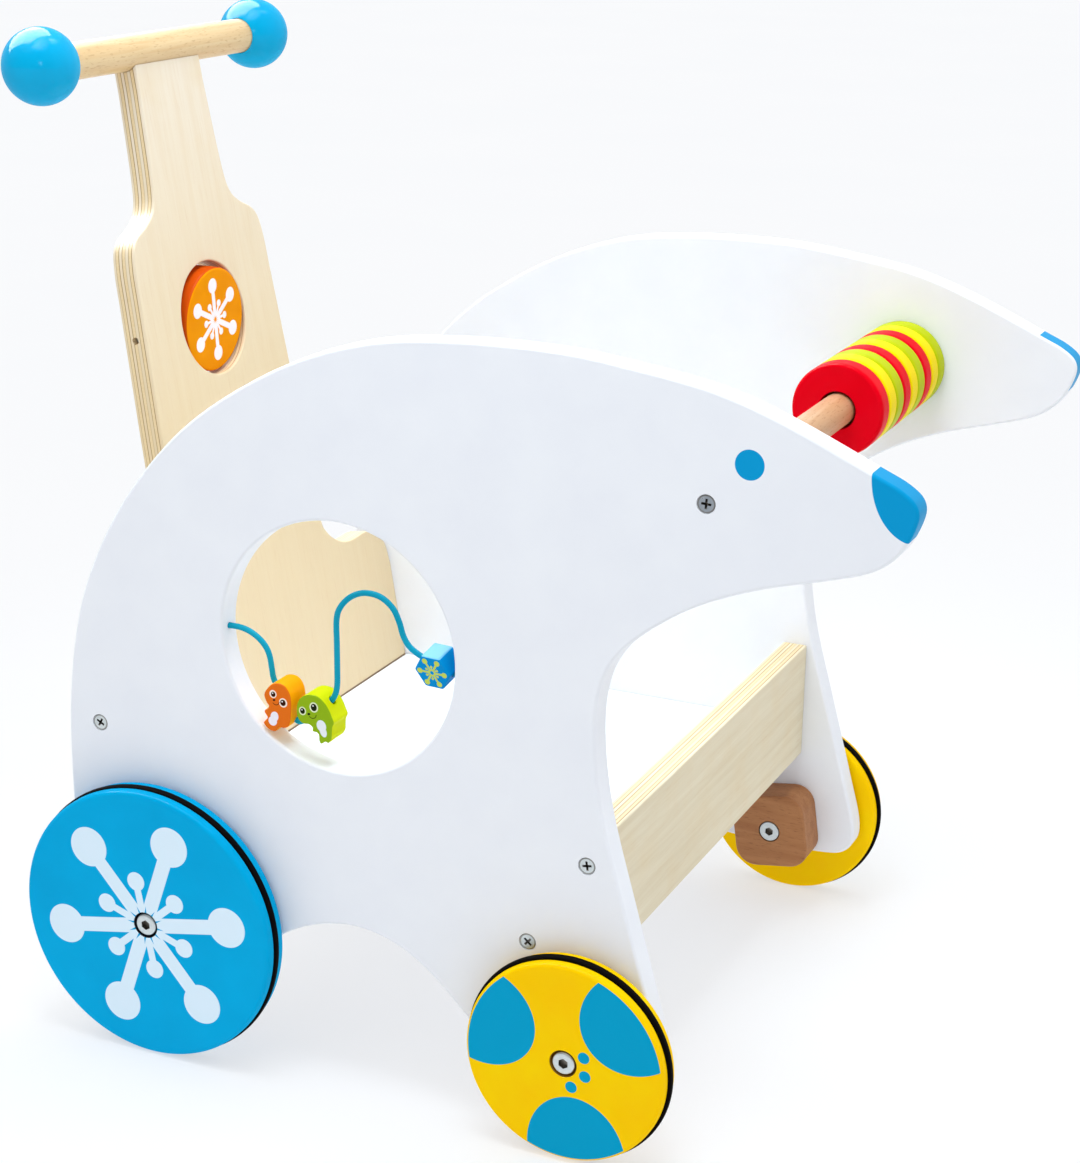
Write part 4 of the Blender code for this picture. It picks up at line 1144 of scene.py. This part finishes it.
sleeve = block_in + SLEEVE_HEAD_T
nut_master = turn_outward("nut_master", (
    (block_in, 0, 0), (block_in, SLEEVE_HEAD_R, 0.0005), (sleeve, SLEEVE_HEAD_R, 0.0003),
    (sleeve, SLEEVE_R, 0), (end, SLEEVE_R, 0.0003), (end, BOLT_R + GAP, 0), (well, BOLT_R + GAP, 0),
    (well, 0, 0)), 4, 48)
key_r, key_depth = NUT_KEY
drill(nut_master, bit((0, -block_in + KEY_START, 0), (0, -block_in - key_depth, 0), key_r, 6))
smooth(nut_master, METAL_ANGLE)
mark_recess(nut_master, key_r + 0.1 * MM, -block_in - key_depth - 0.3 * MM, -block_in - 0.1 * MM)
print("bolt of %.1f mm" % (1000 * (head - tip)))

# %% Axle blocks
BLOCK, BLOCK_ROUND = 0.0420, 0.0110
ARC_STEPS = 8
side_in = BLOCK / 2 - BLOCK_ROUND
outline = []
for k, (sx, sz) in enumerate(((1, 1), (-1, 1), (-1, -1), (1, -1))):
    for j in range(ARC_STEPS + 1):
        angle = math.pi / 2 * (k + j / ARC_STEPS)
        outline.append((sx * side_in + BLOCK_ROUND * math.cos(angle), -block_in - BLOCK_T,
                        sz * side_in + BLOCK_ROUND * math.sin(angle)))
block_master = cut_board("block_master", outline, (0.0, BLOCK_T, 0.0))
ease(block_master, 1.3 * MM, 4)
drill(block_master, bit((0, -0.15, 0), (0, -0.10, 0), SLEEVE_R + GAP, 32),
      bit((0, -sleeve - GAP, 0), (0, -0.10, 0), SLEEVE_HEAD_R + 2 * GAP, 48))
smooth(block_master)
print("block faces", len(block_master.data.polygons))

# %% [markdown]
# ## Finish: brown hardwood
#
# The axle blocks are a mid-brown hardwood, oiled and not painted. Its pores are short dark
# dashes along the grain, and the tone drifts from one growth band to the next.

# %% Brown hardwood
hardwood, tree, shader, place = new_finish("oiled_brown_hardwood")
drawn = add(tree, "Mapping", {"Vector": place, "Scale": (0.12, 1.0, 1.0), "Rotation": (0.0, 0.35, 0.0)})
bands = add(tree, "TexNoise", {"Vector": drawn, "Scale": per(5), "Detail": 3.0, "Distortion": 0.5})
tone = add(tree, "MapRange", {"Value": bands, "From Min": 0.35, "From Max": 0.68})
colour = add(tree, "Mix", {0: tone, 6: linear("#AE7646"), 7: linear("#9E6538")}, 2, data_type="RGBA")
pores = add(tree, "TexNoise", {"Vector": drawn, "Scale": per(0.6), "Detail": 2.0})
dashes = add(tree, "MapRange", {"Value": pores, "From Min": 0.58, "From Max": 0.68, "To Max": 0.5})
colour = add(tree, "Mix", {0: dashes, 6: colour, 7: linear("#6E4022")}, 2, data_type="RGBA")
dull = add(tree, "MapRange", {"Value": pores, "To Min": 0.48, "To Max": 0.66})
relief = add(tree, "Bump", {"Height": pores, "Strength": 0.3, "Distance": 0.08 * MM})
fill(tree, shader, {"Base Color": colour, "Roughness": dull, "Normal": relief, "IOR": 1.48})
print("hardwood", hardwood.name)

# %% Axle sets in place
FRONT_BLOCK_TURN = math.radians(8.5)
AXLE_SET = ((bolt_master, "bolt", "zinc_steel", zinc), (nut_master, "nut", "zinc_steel", zinc),
            (block_master, "block", "brown_block", hardwood))
for axle, (x, z, _, _) in AXLES.items():
    for name, side in SIDES:
        for master, word, slot, finish in AXLE_SET:
            spin = side * FRONT_BLOCK_TURN if word == "block" and axle == "front" else 0.0
            piece = copy_to(master, "axle_%s_%s_%s" % (word, axle, name),
                            side_matrix(side, x, z) @ Matrix.Rotation(spin, 4, "Y"))
            dress(piece, "frame", slot, finish, "%s_%s_axle_%s" % (axle, name, word))
discard(bolt_master, nut_master, block_master)
print("axle sets", len(AXLES) * len(SIDES))

# %% [markdown]
# ## Panel screws
#
# Countersunk screws hold the boards and the rod between the sides. The head is a turned cone,
# and the cross is cut with a tapered cutter that narrows towards its bottom.

# %% Panel screws
SCREW_TOP = PANEL_OUT - GAP
SCREW_HEAD_R, SCREW_FLAT_R, SHANK_R = 0.0040, 0.0034, 0.0017
CROSS_ARM, CROSS_HALF, CROSS_TAPER = 0.0025, 0.0006, 0.45
RIM_SHADE = 0.75           # painted shade on the rim of a head, for the gap round the countersink
screw_master = turn_outward("screw_master", (
    (SCREW_TOP, 0, 0), (SCREW_TOP, SCREW_FLAT_R, 0), (SCREW_TOP, SCREW_HEAD_R, 0.0003),
    (SCREW_TOP - 0.0004, SCREW_HEAD_R, 0), (SCREW_TOP - 0.0029, SHANK_R, 0.0003),
    (SCREW_TOP - 0.035, SHANK_R, 0), (SCREW_TOP - 0.038, 0, 0)), 3, 40)
arm, half = CROSS_ARM, CROSS_HALF
cross = ((half, half), (half, arm), (-half, arm), (-half, half), (-arm, half), (-arm, -half), (-half, -half),
         (-half, -arm), (half, -arm), (half, -half), (arm, -half), (arm, half))
cutter = ring_of("cross_cutter", [(u, -SCREW_TOP - 0.0004, v) for u, v in cross], "NGON")
bpy.ops.mesh.extrude_region_move(TRANSFORM_OT_translate={"value": (0.0, 0.0023, 0.0)})
bpy.ops.transform.resize(value=(CROSS_TAPER, 1.0, CROSS_TAPER), center_override=(0.0, 0.0, 0.0))
close_mesh(cutter)
drill(screw_master, cutter)
smooth(screw_master, METAL_ANGLE)
mark_recess(screw_master, 2.7 * MM, 0.1 * MM - SCREW_TOP, 2.2 * MM - SCREW_TOP)
# Painted shade on the rims of the heads as well, for the gap round the countersink.
for face in screw_master.data.polygons:
    if math.hypot(face.center.x, face.center.z) > SCREW_FLAT_R:
        screw_master.data.attributes["recess"].data[face.index].value = RIM_SHADE
for k, (word, (x, z)) in enumerate(SCREW_AT.items()):
    for name, side in SIDES:
        spin = Matrix.Rotation(0.5 + 0.9 * k, 4, "Y")
        screw = copy_to(screw_master, "screw_%s_%s" % (word, name), side_matrix(side, x, z) @ spin)
        finish = dark_zinc if word == "rod" else zinc
        dress(screw, "frame", "zinc_steel", finish, "%s_%s_screw" % (name, word))
discard(screw_master)
print("screws", len(SCREW_AT) * len(SIDES))

# %% [markdown]
# ## Spinner
#
# The spinner is a painted disc on a steel pin in the round hole of the post. It is turned with soft edges,
# stood upright, and drilled across for the pin. The snowflake is printed on both faces, and the round side is
# painted a deeper orange as shade in the hole.

# %% Spinner
SPIN_R, SPIN_T, SPIN_ROUND = 0.0274, 0.0146, 0.0018
SPIN_BORE_R, PIN_R = 0.00195, 0.0016
half_t = SPIN_T / 2
corners = ((-half_t, 0, 0), (-half_t, SPIN_R, SPIN_ROUND), (half_t, SPIN_R, SPIN_ROUND), (half_t, 0, 0))
spinner = turn_piece("spinner_painted", rounded(corners), 96, closed=False)
spinner.data.transform(Matrix.Translation(spin_at) @ Matrix.Rotation(-math.pi / 2, 4, "Z"))
drill(spinner, bit(on_post(SPIN_S, y=-0.05), on_post(SPIN_S, y=0.05), SPIN_BORE_R, 24))
smooth(spinner)


def spinner_side_shade(tree, place):
    """The round side of the spinner, which gets painted shade."""
    reach = reach_from(tree, place, tuple(spin_at), "yz")
    return add(tree, "Math", {0: reach, 1: SPIN_R - 0.5 * MM}, operation="SUBTRACT")


flake = snowflake(tuple(spin_at), "yz", math.radians(36.0), 18.3 * MM, 0.9 * MM, 2.4 * MM)
# The deeper orange on the round side is painted shade in the hole.
spinner_paint = enamel("orange_spinner_enamel", "#F49A00", "#EE8E00",
                       ((flake, "#FBF3F4"), (spinner_side_shade, "#CE4E0C")))
dress(spinner, "spinner", "spinner_orange", spinner_paint, "spinner_disc")

pin_low, pin_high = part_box("spinner_pin")
pin = dowel("spinner_pin_steel", (pin_high.y - pin_low.y) / 2, PIN_R, (spin_at.x, spin_at.z))
pin.data.transform(Matrix.Translation((0.0, (pin_high.y + pin_low.y) / 2, 0.0)))
dress(pin, "frame", "zinc_steel", zinc, "spinner_pin")
print("spinner at", [round(c, 4) for c in spin_at])

# %% [markdown]
# ## Discs
#
# Nine turned discs slide on the rod. They are painted red, yellow and lime in turn, with
# rounded rims. One disc is turned and copied along the rod. Their clear film is thin, so the
# faces keep their full colour and only the sides shine.

# %% Discs
DISC_R, DISC_T, DISC_BORE, DISC_STEP = 0.0231, 0.0121, 0.0094, 0.0124
DISC_COUNT = 9
DISC_TONES = {"red": ("red_disc_enamel", "#E60019", "#DC0014"),
              "yellow": ("yellow_disc_enamel", "#F6DE00", "#F0D400"),
              "green": ("lime_disc_enamel", "#BCC804", "#B2BE00")}
corners = ((0, DISC_BORE, 0.0005), (0, DISC_R, 0.0022), (DISC_T, DISC_R, 0.0022), (DISC_T, DISC_BORE, 0.0005))
disc_master = turn_piece("disc_master", rounded(corners), 96, rod_at)
smooth(disc_master)
disc_paint = {colour: enamel(*tones, coat=0.35, film=1.22) for colour, tones in DISC_TONES.items()}
for k in range(DISC_COUNT):
    colour = list(DISC_TONES)[k % len(DISC_TONES)]
    node = "disc_%d_%s" % (k + 1, colour)
    along = PANEL_IN - DISC_STEP * (DISC_COUNT - k)
    disc = copy_to(disc_master, "painted_" + node, Matrix.Translation((0.0, along, 0.0)))
    dress(disc, node + "_body", "disc_" + colour, disc_paint[colour], node)
discard(disc_master)
print("discs", DISC_COUNT)

# %% [markdown]
# ## Wire
#
# A steel wire is bent through the window in two waves, and its ends are pushed into holes in
# the rim. A curve runs through the points of the bends and is given the wire's round section.
# Then it becomes a mesh. Its powder coat is a little rough.

# %% Wire
WIRE_TAIL = 0.005          # how far the ends reach into the rim
path = [in_window(p) for p in smooth_path(WIRE, 8, False)]
path.insert(0, path[0] + (path[0] - path[1]).normalized() * WIRE_TAIL)
path.append(path[-1] + (path[-1] - path[-2]).normalized() * WIRE_TAIL)
start_clean()
bpy.ops.curve.primitive_nurbs_path_add()
wire = bpy.context.object
wire.name = "maze_wire_coated"
wire.data.splines.clear()
line = wire.data.splines.new("POLY")
line.points.add(len(path) - 1)
for knot, point in zip(line.points, path):
    knot.co = (*point, 1.0)
wire.data.bevel_depth = WIRE_R
wire.data.bevel_resolution = 6
wire.data.use_fill_caps = True
only(wire)
bpy.ops.object.convert(target="MESH")
wire = bpy.context.object
only(wire)
bpy.ops.object.mode_set(mode="EDIT")
close_mesh(wire, 1e-6)
smooth(wire, 50.0, False)
powder = enamel("teal_powder_coat", "#1AA3C0", "#1296B4", rough=(0.32, 0.46), peel=0.25)
dress(wire, "frame", "wire_blue", powder, "maze_wire")
print("wire faces", len(wire.data.polygons))

# %% [markdown]
# ## Beads
#
# Two little animals and a six-sided block are threaded on the wire. The animals are cut from
# a 14 mm board along a wavy outline and drilled along the wire. Their edges are painted in a
# lighter colour than their faces. Eyes, nose, smile and a pale belly are printed on the front.

# %% Bead shapes
BEAD_T, BLOCK_BEAD_T = 0.0140, 0.0124
BEAD_BORE_R, BORE_REACH = 0.0022, 0.02
BLOCK_TURN = math.radians(14.0)
# millimetres about the window's centre
ORANGE_BEAD = (
    (-38.8, -28.8), (-36.4, -24.8), (-33.5, -22.4), (-29.8, -21.9), (-26.7, -23.2), (-24.6, -26.6),
    (-24, -31), (-24.3, -36), (-24.8, -40), (-26, -42.9), (-28.4, -44.2), (-30.8, -44.2),
    (-33.2, -46.6), (-36.6, -46.2), (-39.4, -43.6), (-38.6, -42), (-37.3, -40.2), (-38.6, -38.2),
    (-38.7, -36.9), (-37.2, -35.8), (-36.4, -34.2), (-37.6, -32.6),
)
GREEN_BEAD = (
    (-21.1, -33.5), (-20.5, -29.8), (-18.7, -27), (-15.6, -25.1), (-12.2, -24.6), (-9, -25.3),
    (-6.1, -27.6), (-3.8, -30.8), (-2.5, -33.8), (-1.4, -36.6), (-2.3, -38.9), (-2.6, -41.6),
    (-2.8, -44.6), (-4.3, -47.2), (-6, -46.9), (-8.3, -48.3), (-9.3, -46.8), (-9.4, -44.2),
    (-10.6, -43), (-12.7, -42.8), (-12.8, -41), (-14.6, -39.6), (-17.4, -39.8), (-19.5, -38.8),
    (-20.9, -36.4),
)
BLOCK_MID = (50.0, -1.95)
BLOCK_BEAD = ((40.6, -1.95), (45.3, 6.19), (54.7, 6.19), (59.4, -1.95), (54.7, -10.09), (45.3, -10.09))
BORES = {"orange": ((-37.2, -23.2), (-26.9, -40.2)), "green": ((-21.4, -41.3), (-6.6, -29)),
         "block": ((40.5, 1.6), (61.5, -5.3))}


def sawn_bead(name, outline, thick, soft, turn=0.0):
    """Bead cut from a board, turned about its bore and drilled along it, and the turn."""
    ob = cut_board(name + "_bead_painted", [in_window(p, WIRE_Y - thick / 2) for p in outline],
                   (0.0, thick, 0.0))
    a, b = (in_window(p) for p in BORES[name])
    mid, way = (a + b) / 2, (b - a).normalized()
    about = Matrix.Translation(mid) @ Matrix.Rotation(turn, 4, way) @ Matrix.Translation(-mid)
    ob.data.transform(about)
    ease(ob, soft, 3)
    drill(ob, bit(mid - way * BORE_REACH, mid + way * BORE_REACH, BEAD_BORE_R, 24))
    smooth(ob)
    return ob, about


animals = {name: sawn_bead(name, smooth_path(outline, 4, True), BEAD_T, 1.0 * MM)[0]
           for name, outline in (("orange", ORANGE_BEAD), ("green", GREEN_BEAD))}
block, about = sawn_bead("block", BLOCK_BEAD, BLOCK_BEAD_T, 0.8 * MM, BLOCK_TURN)
print("beads", len(animals) + 1)

# %% Animal paint
BEAD_FRONT = -WIRE_Y + BEAD_T / 2
STROKE, STROKE_TURN = (0.42, 0.2), 0.36   # half length and half width in mm, and step of a smile


def face_all(tree, place):
    """The whole front or back face of an animal, without its sides."""
    off = away(tree, place, "Y", WIRE_Y)
    return add(tree, "Math", {0: off, 1: BEAD_T / 2 - 0.4 * MM}, operation="SUBTRACT")


def marks(*rows):
    """Spots in millimetres about the window's centre, on the front face."""
    ellipses = [(x * MM, y * MM, w * MM, h * MM, t) for x, y, w, h, t in rows]
    return outer_only(spots((WINDOW[0], 0.0, WINDOW[1]), "xz", ellipses), BEAD_FRONT - 0.5 * MM)


def smile(x, y, reach, tilt):
    """Rows of short strokes along a smile below a nose."""
    angles = [STROKE_TURN * step + tilt for step in range(-3, 4)]
    return [(x + reach * math.sin(angle), y - reach * math.cos(angle), *STROKE, angle) for angle in angles]


orange_prints = (
    (face_all, "#E5701A"),
    (marks((-33.7, -27.7, 1.9, 2.0, 0), (-28.3, -31.2, 2.2, 2.3, 0)), "#FBEADB"),
    (marks((-33.6, -27.8, 1.25, 1.35, 0), (-28.4, -31.2, 1.5, 1.6, 0), (-33.2, -30.6, 0.75, 0.55, 0.4),
           *smile(-32.3, -31.0, 1.9, 0.3)), "#3A1606"),
    (marks((-33.9, -27.3, 0.3, 0.3, 0), (-28.8, -30.7, 0.35, 0.35, 0)), "#FFFFFF"),
    (marks((-33.2, -39.0, 2.1, 2.6, -0.3), (-34.2, -41.4, 2.3, 2.3, -0.3)), "#F0EDF6"))
green_prints = (
    (face_all, "#8FB31A"),
    (marks((-17.9, -33.4, 1.9, 2.1, 0), (-11.8, -30.6, 2.3, 2.5, 0)), "#E4EDC4"),
    (marks((-17.9, -33.4, 1.3, 1.5, 0), (-11.8, -30.6, 1.6, 1.85, 0), (-14.5, -34.4, 0.8, 0.6, 0.3),
           *smile(-12.6, -34.2, 2.0, 0.35)), "#1C2408"),
    (marks((-18.2, -32.9, 0.3, 0.3, 0), (-12.2, -29.9, 0.35, 0.35, 0)), "#FFFFFF"),
    (marks((-7.9, -39.2, 2.5, 2.9, 0.32), (-7.0, -41.8, 1.8, 2.9, 0.32)), "#E9EEF4"))
bead_paint = {"orange": enamel("orange_bead_enamel", "#FFAC12", "#F99E00", orange_prints),
              "green": enamel("green_bead_enamel", "#D0DA0E", "#C4D002", green_prints)}
for name, bead in animals.items():
    dress(bead, name + "_bead_body", "bead_" + name, bead_paint[name], name + "_bead")
print("painted animals", list(animals))

# %% [markdown]
# ## Block bead
#
# The block sits turned on the wire, so its print can't be placed along the axes of the frame.
# Its points keep a memory of where they were before the turn, as an attribute of the mesh, and
# the print is placed with that. The block is deep blue, with a lime snowflake on its front face,
# and its top and bottom sides are pale blue.

# %% Block bead
PALE_FROM = 7.75 * MM      # the pale sides lie this far above or below the middle
unturned = block.data.attributes.new("unturned", "FLOAT_VECTOR", "POINT")
back_again = about.inverted()
for corner in block.data.vertices:
    unturned.data[corner.index].vector = back_again @ corner.co


def on_block(shape):
    """Place a print by the unturned position."""
    def turned_shape(tree, place):
        return shape(tree, add(tree, "Attribute", out="Vector", attribute_name="unturned"))
    return turned_shape


def pale_sides(tree, place):
    """The sides that look up and down."""
    off = away(tree, place, "Z", in_window(BLOCK_MID).z)
    return add(tree, "Math", {0: off, 1: PALE_FROM}, operation="SUBTRACT")


flake_at = in_window(BLOCK_MID, 0.0)
flake = snowflake(tuple(flake_at), "xz", 0.0, 6.4 * MM, 1.0 * MM, 0.0)
block_front = BLOCK_BEAD_T / 2 - WIRE_Y
block_paint = enamel("blue_block_enamel", "#0593D8", "#008AD0", (
    (on_block(pale_sides), "#7CCBF2"),
    (on_block(outer_only(flake, block_front - 0.5 * MM)), "#C9D95A")))
dress(block, "block_bead_body", "bead_blue", block_paint, "block_bead")
print("block bead turned by %.0f degrees" % math.degrees(BLOCK_TURN))

# %% [markdown]
# ## Sizes and finish
#
# The dressed model has to keep the size of the CAD model, so the sizes of both boxes are printed.

# %% Sizes and finish
start_clean()
boxes = {"cad": [list(corner) for corner in cad_box], "visual": [list(corner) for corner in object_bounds()]}
for key, (low, high) in boxes.items():
    print(key, [round(1000 * (h - l), 1) for l, h in zip(low, high)])
